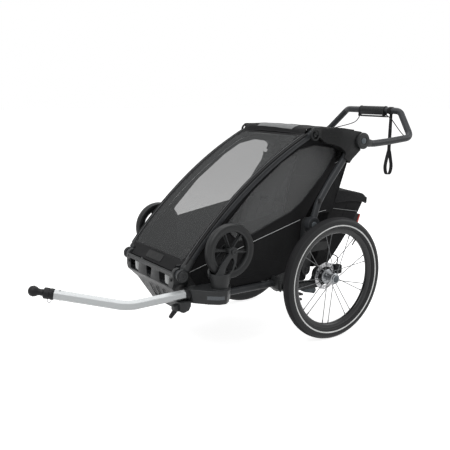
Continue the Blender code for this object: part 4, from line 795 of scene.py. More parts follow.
# -------------------------------------------------------------- frame tubes
@dataclass
class FrameTubes:
    """Base loop, front hoop, rear hoop and handlebar tube."""

    base_r: float = 0.0135
    hoop_corner: float = 0.050
    eye_r: float = 0.019
    knee_r: float = 0.030
    knee_in: float = 0.2255
    knee_out: float = 0.2535
    foot_r: float = 0.0240
    bar_r: float = 0.0142

    def build(self) -> None:
        """Make all the tubes."""
        self.base()
        self.front()
        self.rear()
        self.handle()

    def base(self) -> None:
        """Loop that the floor is stretched in."""
        x = LAYOUT.frame_x
        corners = [(x, -0.600, 0.055), (x, -0.235, 0.030), (-x, -0.235, 0.030), (-x, -0.600, 0.055)]
        loop = [(p.x, p.y, LAYOUT.base_z) for p in rounded(corners, 10, closed=True)]
        parts = [sweep(loop, self.base_r, 24, cyclic=True)]
        for _, side in SIDES:
            parts.append(bar((side * x, -0.300, LAYOUT.base_z), (side * x, -0.212, LAYOUT.base_z),
                             self.base_r, soft=0.001))
        finished("base_loop", gathered(*parts), [FRAME], "base", ["base_frame"])

    def front(self) -> None:
        """Arched front hoop with its eyes, feet and cover rails."""
        x = LAYOUT.frame_x
        arch = [(x, *LAYOUT.arch(0.02 + 0.96 * k / 24), 0.0) for k in range(24)]
        route = mirrored([*arch, (x, *LAYOUT.top_pivot, self.hoop_corner)], 12)
        parts = [sweep(route, LAYOUT.tube_r, 24)]
        for _, side in SIDES:
            parts.append(bar((side * 0.1904, *LAYOUT.front_pivot),
                             (side * 0.2176, *LAYOUT.front_pivot), self.eye_r, soft=0.001))
            parts.append(bar((side * 0.154, *LAYOUT.top_pivot), (side * 0.2174, *LAYOUT.top_pivot),
                             0.0165, soft=0.001))
            parts.append(tinted(self.rail(side, 0.62, 0.0011), 1))
            parts.append(tinted(self.rail(side, 0.15, 0.0009), 2))
            parts.append(tinted(self.foot(side), 3))
        finished("front_hoop_tube", gathered(*parts), [FRAME, RAIL, PLASTIC_DEEP, PLASTIC],
                 "front_frame", ["front_hoop"])

    def rail(self, side: int, turn: float, radius: float) -> Mesh:
        """Thin line along the pillar's outer face, turned a way round the tube."""
        reach = LAYOUT.tube_r - 0.0002
        row = [(side * (LAYOUT.frame_x + reach * math.cos(turn)),
                *LAYOUT.arch(0.075 + 0.875 * k / 30, reach * math.sin(turn))) for k in range(31)]
        return sweep(row, radius, 8)

    def foot(self, side: int) -> Mesh:
        """Round joint cover at the pillar's lower end, with its collar."""
        y, z = LAYOUT.front_pivot
        disc = lathe([(side * 0.2050, self.foot_r - 0.002), (side * 0.2155, self.foot_r),
                      (side * 0.2172, self.foot_r - 0.0015), (side * 0.2180, self.foot_r - 0.006),
                      (side * 0.2180, 0.010), (side * 0.2050, 0.010)], (y, z), 48)
        start = Vector((side * LAYOUT.frame_x, *LAYOUT.arch(0.030)))
        end = Vector((side * LAYOUT.frame_x, *LAYOUT.arch(0.092)))
        collar = bar(start, end, 0.0180, 0.0160, soft=0.0012)
        return gathered(disc, collar)

    def rear(self) -> None:
        """Rear hoop with its knee hubs and the strap clips on the uprights."""
        x = LAYOUT.upright_x
        knee = Vector(LAYOUT.knee_pivot)
        first = knee + (Vector((-0.040, 0.553)) - knee).normalized() * self.knee_r * 0.6
        route = mirrored([(x, *first, 0.0), (x, -0.040, 0.553, 0.10), (x, 0.016, 0.631, 0.10),
                          (x, 0.0970, 0.7290, 0.06), (x, *LAYOUT.rear_bar, 0.048)], 12)
        parts = [sweep(route, 0.0135, 24)]
        for _, side in SIDES:
            inner, outer = side * self.knee_in, side * self.knee_out
            seat = side * (self.knee_out + 0.002 - 0.0105)
            parts.append(lathe([(inner, 0.0), (inner, self.knee_r - 0.0015),
                                (inner + side * 0.0015, self.knee_r),
                                (outer - side * 0.002, self.knee_r), (outer, self.knee_r - 0.002),
                                (outer, 0.0195), (outer - side * 0.0012, 0.0188),
                                (outer - side * 0.0012, 0.0152), (outer, 0.0145),
                                (outer, 0.0129), (seat, 0.0129), (seat, 0.0)], knee, 56))
            parts.append(tinted(self.clip(side), 1))
        finished("rear_hoop_tube", gathered(*parts), [FRAME, PLASTIC_DEEP], "rear_frame",
                 ["rear_hoop"])

    def clip(self, side: int) -> Mesh:
        """Small buckle on the upright, above the knee hub."""
        low, high = sorted((side * 0.2495, side * 0.2560))
        buckle = block((low, -0.052, 0.553), (high, -0.034, 0.574), 0.003)
        ring = bar((side * 0.2540, -0.043, 0.5635), (side * 0.2575, -0.043, 0.5635), 0.0055,
                   soft=0.0008)
        return gathered(buckle, ring)

    def handle(self) -> None:
        """Handlebar tube, bent over to its crossbar."""
        x, pivot, lead = 0.2485, Vector(LAYOUT.bar_pivot), Vector((0.236, 0.7785))
        start = pivot + (lead - pivot).normalized() * 0.0335 * 0.75
        top_y, top_z = LAYOUT.bar_top
        route = mirrored([(x, *start, 0.0), (0.2490, *lead, 0.12), (0.2520, 0.335, 0.7850, 0.3),
                          (0.2625, 0.459, 0.7985, 0.042),
                          (0.1640, top_y + 0.018, top_z - 0.003, 0.044),
                          (0.1300, top_y, top_z, 0.05)], 12)
        finished("handlebar_bend", sweep(route, self.bar_r, 24), [FRAME], "handlebar",
                 ["handlebar_tube"])


# ------------------------------------------------------------------ main wheel
@dataclass
class MainWheel:
    """Spoked wheel with its tyre, hub and brake disc."""

    tag: str
    side: int
    radius: float = 0.250
    centre_x: float = 0.2995
    rim_in: float = 0.1862
    spoke_pairs: int = 9
    stripe: tuple[float, float] = (0.2172, 0.2224)
    tread_from: float = 0.2445
    disc_x: float = 0.2535
    disc_r: float = 0.057
    segments: int = 120

    @property
    def axle(self) -> tuple[float, float]:
        """The wheel's axis in side view."""
        return (0.0, self.radius)

    def build(self) -> None:
        """Make the wheel's pieces."""
        self.tyre()
        self.wheel()
        self.disc()
        refined("axle_button_" + self.tag, BUTTON, 0.0008)

    def tyre(self) -> None:
        """Tyre with its tread grooves and the pale reflecting stripe."""
        half = [(0.0116, 0.2042), (0.0160, 0.2065), (0.0188, 0.2105), (0.0209, 0.2172),
                (0.0219, 0.2224), (0.0231, 0.2290), (0.0228, 0.2348), (0.0208, 0.2400),
                (0.0176, 0.2442), (0.0140, 0.2466), (0.0132, 0.2456), (0.0122, 0.2473),
                (0.0076, 0.2490), (0.0068, 0.2479), (0.0058, 0.2493), (0.0012, 0.2500)]
        mid = self.side * self.centre_x
        row = [(mid + x, r) for x, r in half] + [(mid - x, r) for x, r in reversed(half)]
        bm = lathe(row, self.axle, self.segments)
        for face in bm.faces:
            middle = face.calc_center_median()
            r = math.hypot(middle.y - self.axle[0], middle.z - self.axle[1])
            outboard = self.side * (middle.x - mid) > 0.012
            striped = outboard and self.stripe[0] < r < self.stripe[1]
            face.material_index = 2 if striped else int(r > self.tread_from)
        finished("tyre_%s_ring" % self.tag, bm, [TYRE, TREAD, STRIPE], "main_wheel_" + self.tag,
                 ["tyre_" + self.tag])

    def wheel(self) -> None:
        """Rim, spokes with their nipples, and the hub."""
        mid, inner = self.side * self.centre_x, self.rim_in
        rim = lathe([(mid + x, r) for x, r in (
            (-0.0112, 0.2038), (0.0112, 0.2038), (0.0122, 0.2055), (0.0130, 0.2050),
            (0.0130, 0.1985), (0.0118, 0.1950), (0.0095, 0.1900), (0.0060, inner + 0.0006),
            (0.0, inner), (-0.0060, inner + 0.0006), (-0.0095, 0.1900), (-0.0118, 0.1950),
            (-0.0130, 0.1985), (-0.0130, 0.2050), (-0.0122, 0.2055))], self.axle, self.segments)
        parts = [rim, tinted(self.hub(), 1), *[tinted(s, 2) for s in self.spokes()],
                 tinted(self.valve(), 3)]
        finished("main_wheel_%s_spoked" % self.tag, gathered(*parts), [RIM, HUB, SPOKE, CABLE],
                 "main_wheel_" + self.tag, ["main_wheel_" + self.tag])

    def hub(self) -> Mesh:
        """Hub shell with its two flanges and stepped outer end."""
        s = self.side
        return lathe([(s * x, r) for x, r in (
            (0.3120, 0.0), (0.3120, 0.0130), (0.3175, 0.0130), (0.3185, 0.0140),
            (0.3185, 0.0172), (0.3172, 0.0185), (0.3130, 0.0190), (0.3115, 0.0205),
            (0.3100, 0.0228), (0.3062, 0.0232), (0.3052, 0.0220), (0.3040, 0.0150),
            (0.3000, 0.0140), (0.2735, 0.0140), (0.2690, 0.0150), (0.2676, 0.0275),
            (0.2664, 0.0290), (0.2628, 0.0290), (0.2616, 0.0275), (0.2500, 0.0270),
            (0.2500, 0.0070), (0.2900, 0.0066), (0.2900, 0.0))], self.axle, 56)

    def spokes(self) -> list[Mesh]:
        """Spokes in crossed pairs from both flanges to the rim."""
        parts = []
        pitch = TAU / self.spoke_pairs
        centre = Vector((0.0, *self.axle))
        for k in range(2 * self.spoke_pairs):
            pair, inboard = k // 2, k % 2 == 0
            middle = pair * pitch + 0.340
            at_rim = middle + (-0.083 if inboard else 0.083)
            at_hub = middle + (0.25 if inboard else -0.10)
            flange_x, flange_r = (0.2645, 0.0275) if inboard else (0.3080, 0.0218)
            start = centre + Vector((self.side * flange_x, flange_r * math.cos(at_hub),
                                     flange_r * math.sin(at_hub)))
            end = centre + Vector((self.side * self.centre_x, self.rim_in * math.cos(at_rim),
                                   self.rim_in * math.sin(at_rim)))
            along = (end - start).normalized()
            parts.append(bar(start, end + along * 0.001, 0.0015, segments=8))
            parts.append(bar(end - along * 0.013, end + along * 0.001, 0.0021, 0.0023, segments=8))
        return parts

    def valve(self) -> Mesh:
        """Inner tube's valve, standing in from the rim."""
        angle = 0.9
        centre = Vector((self.side * self.centre_x, *self.axle))
        along = Vector((0.0, math.cos(angle), math.sin(angle)))
        return bar(centre + along * 0.160, centre + along * (self.rim_in + 0.001), 0.0024, 0.0032,
                   segments=12, soft=0.0006)

    def disc(self) -> None:
        """Drilled brake disc with a wavy rim and its six bolts."""
        y, z = self.axle
        loops = [circle((y, z), self.disc_r - 0.0008, 96, 0.0008, 12), circle((y, z), 0.0392, 48)]
        for k in range(12):
            for r, turn, size in ((0.0505, 0.0, 0.0032), (0.0445, 0.42, 0.0027)):
                angle = TAU * (k + turn) / 12
                loops.append(circle((y + r * math.cos(angle), z + r * math.sin(angle)), size, 10))
        low, high = sorted((self.side * (self.disc_x - 0.001), self.side * (self.disc_x + 0.001)))
        plate = slab(loops, "YZ", low, high)
        star = [circle((y, z), 0.0375, 96, 0.0030, 6), circle((y, z), 0.0282, 48)]
        carrier = tinted(slab(star, "YZ", low - 0.0004, high + 0.0004, 0.0003), 1)
        bolts = [carrier]
        for k in range(6):
            angle = TAU * (k + 0.5) / 6
            spot = (y + 0.0322 * math.cos(angle), z + 0.0322 * math.sin(angle))
            bolts.append(bolt(self.side, self.disc_x + 0.001, spot, 0.0030, 0.0018))
        finished("brake_disc_%s_plate" % self.tag, gathered(plate, *bolts), [STEEL, PLASTIC_DEEP],
                 "main_wheel_" + self.tag, ["brake_disc_" + self.tag])


# ------------------------------------------------------- stowed stroller wheel
@dataclass
class StowedWheel:
    """Small wheel in its upside-down fork on the wing."""

    tag: str
    side: int
    stem: tuple[float, float] = (0.270, -0.530)
    centre: tuple[float, float] = (-0.488, 0.422)
    radius: float = 0.1013
    spoke_count: int = 6

    def build(self) -> None:
        """Make the wheel and dress its fork."""
        self.wheel()
        self.fork()

    def wheel(self) -> None:
        """Tyre, rim, ribbed spokes and hub."""
        mid = self.side * self.stem[0]
        r = self.radius
        tyre = lathe([(mid + u, v) for u, v in (
            (-0.0135, r - 0.0225), (-0.0160, r - 0.0165), (-0.0170, r - 0.0105),
            (-0.0155, r - 0.0045), (-0.0110, r - 0.0012), (-0.0060, r), (-0.0048, r - 0.0012),
            (-0.0036, r), (0.0036, r), (0.0048, r - 0.0012), (0.0060, r), (0.0110, r - 0.0012),
            (0.0155, r - 0.0045), (0.0170, r - 0.0105), (0.0160, r - 0.0165),
            (0.0135, r - 0.0225))], self.centre, 72)
        rim = lathe([(mid + u, v) for u, v in (
            (-0.0134, r - 0.0222), (0.0134, r - 0.0222), (0.0142, r - 0.0240),
            (0.0138, r - 0.0275), (0.0105, r - 0.0300), (-0.0105, r - 0.0300),
            (-0.0138, r - 0.0275), (-0.0142, r - 0.0240))], self.centre, 72)
        parts = [tyre, tinted(rim, 1)]
        parts += [tinted(arm, 1) for arm in self.spokes(mid)]
        parts.append(tinted(lathe([(mid + u, v) for u, v in (
            (-0.0170, 0.0046), (-0.0170, 0.0120), (-0.0160, 0.0132), (-0.0120, 0.0145),
            (0.0120, 0.0145), (0.0160, 0.0132), (0.0170, 0.0120), (0.0170, 0.0046))],
            self.centre, 40), 1))
        finished("stroller_wheel_%s_spoked" % self.tag, gathered(*parts), [SMALL_TYRE, PLASTIC],
                 "stroller_wheel_" + self.tag, ["stroller_wheel_" + self.tag])

    def spokes(self, mid: float) -> list[Mesh]:
        """Spokes with a thin web, a wide flange and a flared root at the rim."""
        parts = []
        reach = self.radius - 0.029
        for k in range(self.spoke_count):
            turn = (Matrix.Translation((mid, *self.centre))
                    @ Matrix.Rotation(TAU * (k + 0.35) / self.spoke_count, 4, "X"))
            outline = [(-0.0058, 0.012), (-0.0052, 0.045), (-0.0085, reach), (0.0085, reach),
                       (0.0052, 0.045), (0.0058, 0.012)]
            flange = slab([outline], "YZ", -0.0018, 0.0018, 0.0006)
            web = block((-0.0095, -0.0018, 0.013), (0.0095, 0.0018, reach), 0.0006, 1)
            for bm in (flange, web):
                bmesh.ops.transform(bm, verts=bm.verts, matrix=turn)
                parts.append(bm)
        return parts

    def notch(self, cup: Mesh) -> None:
        """Lower the cup's rim where the tyre passes."""
        for vert in cup.verts:
            offset = vert.co.y - self.centre[0]
            if abs(vert.co.x - self.side * self.stem[0]) < 0.0205 and vert.co.y > self.stem[1]:
                clear = self.centre[1] - math.sqrt(max(0.0, 0.1035 ** 2 - offset ** 2))
                vert.co.z = min(vert.co.z, max(clear, 0.3165))

    def leg(self, toward: int, leg_in: float, leg_out: float) -> Place:
        """Way from a leg's flat outline to its face, round at the cup and flat above.

        Args:
            toward: Direction of the leg from the wheel.
            leg_in: Distance from the wheel's middle to the leg's inner face.
            leg_out: Distance to its outer face.

        Returns:
            The function that places a flat point.
        """
        x, y = self.stem
        middle = (leg_in + leg_out) / 2

        def to_space(u: float, v: float) -> Vector:
            """Point of the leg for a flat (y, z) pair."""
            radius = 0.0345 + 0.0025 * (v - 0.320) / 0.026
            curved = math.sqrt(max(radius ** 2 - (u - y) ** 2, 0.010 ** 2))
            rise = min(1.0, max(0.0, (v - 0.338) / 0.036))
            rise = rise * rise * (3 - 2 * rise)
            spread = curved + (middle - curved) * rise
            near = (Vector((u, v)) - Vector(self.centre)).length
            clear = min(1.0, max(0.0, (0.1110 - near) / 0.008))
            clear *= 1.0 if u > y else min(1.0, max(0.0, (v - 0.350) / 0.008))
            spread = max(spread, middle * clear)
            return Vector((self.side * x + toward * spread, u, v))
        return to_space

    def fork(self) -> None:
        """Upturned fork: stem, flared crown cup, and two slotted legs."""
        x, y = self.stem
        s, hub = self.side, Vector(self.centre)
        leg_in, leg_out = 0.0212, 0.0280
        cup = lathe([(0.2410, 0.0), (0.2410, 0.0105), (0.2420, 0.0110), (0.2903, 0.0110),
                     (0.2903, 0.0296), (0.2915, 0.0310), (0.2980, 0.0322), (0.3300, 0.0372),
                     (0.3450, 0.0398), (0.3470, 0.0390), (0.3470, 0.0345), (0.3240, 0.0300),
                     (0.3160, 0.0)], (0.0, 0.0), 72)
        bmesh.ops.transform(cup, verts=cup.verts, matrix=Matrix.Translation((s * x, y, 0.0))
                            @ Matrix.Rotation(-math.pi / 2, 4, "Y"))
        self.notch(cup)
        bmesh.ops.recalc_face_normals(cup, faces=cup.faces)
        tip = [(hub.x + 0.0185 * math.cos(a), hub.y + 0.0185 * math.sin(a))
               for a in (math.radians(-12 + 21 * k) for k in range(11))]
        outline = [(y + 0.0255, 0.3200), (y + 0.0285, 0.3380), (-0.4870, 0.3540), (-0.4745, 0.3800),
                   *tip, (-0.5360, 0.3860), (-0.5600, 0.3540), (-0.5630, 0.3460),
                   (y - 0.0300, 0.3300), (y - 0.0255, 0.3200)]
        slot = rounded([(-0.5210, 0.3360, 0.004), (-0.5350, 0.3470, 0.004),
                        (-0.4985, 0.3985, 0.005), (-0.4890, 0.4010, 0.004),
                        (-0.4830, 0.3840, 0.006), (-0.4930, 0.3560, 0.006)], 4, closed=True)
        parts = [cup]
        for toward in (-1, 1):
            parts.append(cloth([outline, slot], 0.006, self.leg(toward, leg_in, leg_out), 0.0068))
            sense = s * toward
            face = toward * (s * x) + leg_out
            parts.append(bolt(toward, face, self.centre, 0.0088 if sense > 0 else 0.0070, 0.0026))
        parts.append(bar((s * x - leg_in - 0.001, *hub), (s * x + leg_in + 0.001, *hub), 0.0042))
        finished("stroller_fork_%s_body" % self.tag, gathered(*parts), [PLASTIC],
                 "stroller_fork_" + self.tag, ["stroller_fork_" + self.tag])


# ---------------------------------------------------------- front cover, roof
@dataclass
class FrontCover:
    """Net window in the front hoop, its borders, and the band at its foot."""

    lift: float = 0.0158
    net_x: float = 0.1860
    low_share: float = 0.062
    high_share: float = 0.955
    foot_share: float = -0.004
    foot_x: float = 0.1640

    def place(self, sag: float) -> Place:
        """Way from the flat cut to the arched front.

        Args:
            sag: How far the sheet sinks between the pillars.

        Returns:
            The function that places a flat point.
        """
        chord = LAYOUT.chord

        def to_space(u: float, v: float) -> Vector:
            """Point over the hoop for a flat point."""
            share = v / chord
            middle = max(0.0, 1.0 - (u / LAYOUT.cover_x) ** 2)
            ends = max(0.0, math.sin(math.pi * min(1.0, max(0.0, share))))
            fold = 0.0007 * math.sin(u * 46.0 + v * 9.0) * ends
            return Vector((u, *LAYOUT.arch(share, self.lift - sag * middle * ends + fold)))
        return to_space

    def build(self) -> None:
        """Make the net, the borders and the foot band."""
        chord = LAYOUT.chord
        low, high = self.low_share * chord, self.high_share * chord
        x, outer = self.net_x, LAYOUT.cover_x - 0.0006
        window = rounded([(-x, low, 0.006), (x, low, 0.006), (x, high, 0.03), (-x, high, 0.03)],
                         8, closed=True)
        grown = rounded([(-x - 0.004, low - 0.004, 0.006), (x + 0.004, low - 0.004, 0.006),
                         (x + 0.004, high + 0.004, 0.03), (-x - 0.004, high + 0.004, 0.03)],
                        8, closed=True)
        net = finished("cover_net", cloth([grown], 0.016, self.place(0.006)), [NET], "front_frame",
                       ["front_cover"])
        top = 0.978 * chord
        foot = self.foot_share * chord
        knee = 0.040 * chord
        frame_cut = [(-outer, knee + 0.006), (-self.foot_x, knee - 0.006), (-self.foot_x, foot),
                     (self.foot_x, foot), (self.foot_x, knee - 0.006), (outer, knee + 0.006),
                     (outer, top), (-outer, top)]
        border = cloth([frame_cut, window], 0.014, self.place(0.006), 0.0016)
        parts = [border]
        parts += [tinted(self.zip_line(side), 1) for _, side in SIDES]
        binding = [self.place(0.006)(p.x, p.y) + Vector((0.0, -0.0005, 0.0007)) for p in window]
        parts.append(tinted(sweep(binding, 0.0016, 8, cyclic=True), 2))
        finished("cover_border", gathered(*parts), [CLOTH, RAIL, BINDING], "front_frame")
        self.patch()

    def zip_line(self, side: int) -> Mesh:
        """Covered zip between the net and the pillar."""
        chord = LAYOUT.chord
        row = []
        for k in range(41):
            share = 0.07 + 0.90 * k / 40
            point = self.place(0.006)(side * (self.net_x + 0.015), share * chord)
            row.append(point + Vector((0.0, -0.0010, 0.0013)))
        return sweep(row, 0.0013, 8)

    def patch(self) -> None:
        """Bare rectangular patch in the middle of the foot band."""
        chord = LAYOUT.chord
        place = self.place(0.006)
        low, high = 0.010 * chord, 0.049 * chord
        cut = rounded([(-0.058, low, 0.005), (0.058, low, 0.005), (0.058, high, 0.005),
                       (-0.058, high, 0.005)], 4, closed=True)
        lifted = Vector((0.0, -0.0011, 0.0014))
        patch = cloth([cut], 0.02, lambda u, v: place(u, v) + lifted, 0.0008)
        finished("cover_patch", patch, [PATCH], "front_frame")


@dataclass
class Roof:
    """Roof cloth between the brackets, with its light panel and front piping."""

    half_x: float = 0.2040

    @staticmethod
    def height(y: float) -> float:
        """Height of the roof at a place along the trailer."""
        row = [(-0.0905, 0.8235), (-0.0860, 0.8395), (-0.0770, 0.8465), (-0.0620, 0.8492),
               (-0.0300, 0.8496), (0.040, 0.8494), (0.120, 0.8438), (0.178, 0.8342)]
        for (y0, z0), (y1, z1) in zip(row, row[1:]):
            if y <= y1:
                return z0 + (z1 - z0) * (y - y0) / (y1 - y0)
        return row[-1][1]

    def place(self, u: float, v: float) -> Vector:
        """Point of the roof for a flat point."""
        middle = 1 - (u / self.half_x) ** 2
        crown = 0.0095 * middle * math.exp(-((v + 0.045) / 0.060) ** 2)
        sag = 0.0030 * middle * math.exp(-((v - 0.100) / 0.050) ** 2)
        fold = 0.0006 * math.sin(u * 70.0 + 2.0 * math.sin(v * 40.0))
        return Vector((u, v, self.height(v) + crown - sag + fold))

    def skirt(self, side: int) -> Mesh:
        """Side edge of the roof, which reaches down inside the bracket."""
        def to_space(u: float, v: float) -> Vector:
            """Point of the skirt for a flat (y, drop) pair."""
            return Vector((side * (self.half_x - 0.0004 - 0.010 * v), u, self.height(u) - v))
        cut = [(-0.078, 0.0), (0.170, 0.0), (0.160, 0.028), (0.090, 0.036), (-0.036, 0.046),
               (-0.060, 0.020), (-0.078, 0.008)]
        return cloth([cut], 0.012, to_space, 0.0012)

    def build(self) -> None:
        """Make the cloth with its opening, the light panel and the piping."""
        x = self.half_x
        outline = [(-x, -0.080), (-x + 0.006, -0.0905), (x - 0.006, -0.0905), (x, -0.080),
                   (x, 0.178), (-x, 0.178)]
        opening = rounded([(-0.110, -0.0855, 0.004), (0.122, -0.0870, 0.004),
                           (0.134, -0.060, 0.010),
                           (0.080, -0.020, 0.030), (0.0, -0.002, 0.060), (-0.070, -0.014, 0.030),
                           (-0.124, -0.056, 0.012)], 5, closed=True)
        middle = Vector((0.0, -0.045))
        wide = [middle + (p - middle) * 1.03 for p in opening]
        main = cloth([outline, opening], 0.009, self.place, 0.0018)
        front = [self.place(-x + 0.006 + (2 * x - 0.012) * k / 40, -0.0905) for k in range(41)]
        back = [self.place(-x + 2 * x * k / 30, 0.1775) for k in range(31)]
        seams = [tinted(sweep(front, 0.0021, 10), 1), tinted(sweep(back, 0.0018, 8), 1)]
        for y in (0.020, 0.105):
            row = [self.place(-x + 0.01 + (2 * x - 0.02) * k / 30, y) + Vector((0.0, 0.0, 0.0006))
                   for k in range(31)]
            seams.append(tinted(sweep(row, 0.0008, 6), 1))
        seams += [self.skirt(side) for _, side in SIDES]
        roof = finished("roof_cloth", gathered(main, *seams), [CLOTH, BINDING], "rear_frame",
                        ["roof_panel"])
        2 * x * 0.268 + 0.072 * 0.200 - SidePanel.area(opening)
        lower = Vector((0.0, 0.0, -0.0012))
        panel = cloth([wide], 0.012, lambda u, v: self.place(u, v) + lower, 0.0008)
        finished("roof_light_panel", panel, [ROOF_NET], "rear_frame")


# ----------------------------------------------------------------- side panels
@dataclass
class SidePanel:
    """Side cloth with its net window, binding and reflecting piping."""

    tag: str
    side: int
    wall: float = 0.0016
    window: tuple[tuple[float, float, float], ...] = (
        (0.071, 0.766, 0.012), (0.081, 0.744, 0.012), (0.031, 0.671, 0.10), (-0.086, 0.559, 0.05),
        (-0.137, 0.523, 0.05), (-0.395, 0.427, 0.030), (-0.463, 0.497, 0.030),
        (-0.335, 0.622, 0.10), (-0.196, 0.722, 0.10), (-0.115, 0.766, 0.06), (-0.033, 0.781, 0.04))

    def outline(self) -> list[Vector]:
        """Flat outline of the whole side, as (y, z) pairs."""
        pillar = [(*LAYOUT.arch(k / 16, -0.0128), 0.0) for k in range(2, 16)]
        low = LAYOUT.base_z + 0.016
        rows = [(-0.612, 0.330, 0.01), *pillar, (-0.072, 0.8120, 0.004), (0.064, 0.8120, 0.02),
                (0.106, 0.776, 0.02), (0.112, 0.740, 0.02), (0.062, 0.668, 0.03),
                (-0.030, 0.545, 0.02), (-0.066, 0.495, 0.02), (-0.094, 0.300, 0.01),
                (-0.102, 0.270, 0.01), (-0.262, 0.264, 0.005), (-0.262, low, 0.004),
                (-0.572, low, 0.004), (-0.592, 0.298, 0.01)]
        return rounded(rows, 4, closed=True)

    def place(self, u: float, v: float) -> Vector:
        """Point of the side for a flat (y, z) pair, with its slack and folds."""
        y, z = u, v
        low = max(0.0, min(1.0, (0.50 - z) / 0.22))
        mid = math.exp(-((y + 0.30) / 0.20) ** 2)
        sag = 0.005 * mid * math.sin(math.pi * max(0.0, min(1.0, (z - 0.26) / 0.45)))
        ripple = 0.0011 * low * math.sin(34.0 * (y + 0.45 * z)) + 0.0006 * math.sin(58.0 * (z - y))
        pull = 0.0016 * math.exp(-((y + 0.10) ** 2 + (z - 0.48) ** 2) / 0.004)
        a, b = Vector(LAYOUT.front_pivot), Vector(LAYOUT.top_pivot)
        along = (b - a).normalized()
        offset = Vector((y, z)) - a
        share = offset.dot(along) / (b - a).length
        under = 4 * LAYOUT.hoop_rise * share * (1 - share) - offset.dot(Vector((-along.y, along.x)))
        loose = max(0.0, min(1.0, (under - 0.02) / 0.05))
        x = LAYOUT.side_x - 0.0016 - (sag - ripple * 0.7 + pull) * loose
        return Vector((self.side * x, y, z))

    def build(self) -> None:
        """Make the cloth, the window and the piping."""
        tag = self.tag
        window = rounded(self.window, 6, closed=True)
        middle = Vector((-0.15, 0.62))
        wide = [p + (p - middle).normalized() * 0.004 for p in window]
        main = cloth([self.outline(), window], 0.015, self.place, self.wall)
        lifted = Vector((self.side * 0.0010, 0.0, 0.0))
        binding = [self.place(*p) + lifted for p in window]
        seam = [self.place(*p) + lifted * 1.1 for p in self.hem()]
        parts = [main, tinted(sweep(binding, 0.0022, 8, cyclic=True), 1),
                 tinted(sweep(seam, 0.0009, 6), 1), tinted(self.piping(), 2)]
        panel = finished("side_cloth_" + tag, gathered(*parts), [CLOTH, BINDING, PIPING], None,
                         ["side_panel_" + tag])
        # the side net is the paler copy of the net, which paints light on the windows
        net = finished("side_net_" + tag, cloth([wide], 0.016, self.inner), [SIDE_NET_LIT],
                       None)
        self.area(wide)
        for piece in (panel, net):
            self.bend(piece)

    def inner(self, u: float, v: float) -> Vector:
        """Point of the net, a little inside the cloth."""
        return self.place(u, v) - Vector((self.side * 0.0008, 0.0, 0.0))

    @staticmethod
    def area(loop: Sequence[Point]) -> float:
        """Area inside a flat outline."""
        pairs = zip(loop, [*loop[1:], loop[0]])
        return abs(sum(a[0] * b[1] - b[0] * a[1] for a, b in pairs)) / 2

    def hem(self) -> list[tuple[float, float]]:
        """Stitched line above the base tube."""
        return [(-0.570 + 0.300 * k / 40, 0.290 + 0.004 * math.sin(k * 0.4)) for k in range(41)]

    def piping(self) -> Mesh:
        """Pale piping that rises from the front corner to the upright."""
        points = flowing([(-0.616, 0.3445), (-0.460, 0.3865), (-0.300, 0.4290),
                          (-0.094, 0.4840)], 12)
        row = [self.place(*p) + Vector((self.side * 0.0020, 0.0, 0.0)) for p in points]
        return sweep(row, 0.0013, 8)

    def bend(self, piece: bpy.types.Object) -> None:
        """Bake the piece's placement into its mesh."""
        a, b = Vector(LAYOUT.front_pivot), Vector(LAYOUT.top_pivot)
        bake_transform(piece)


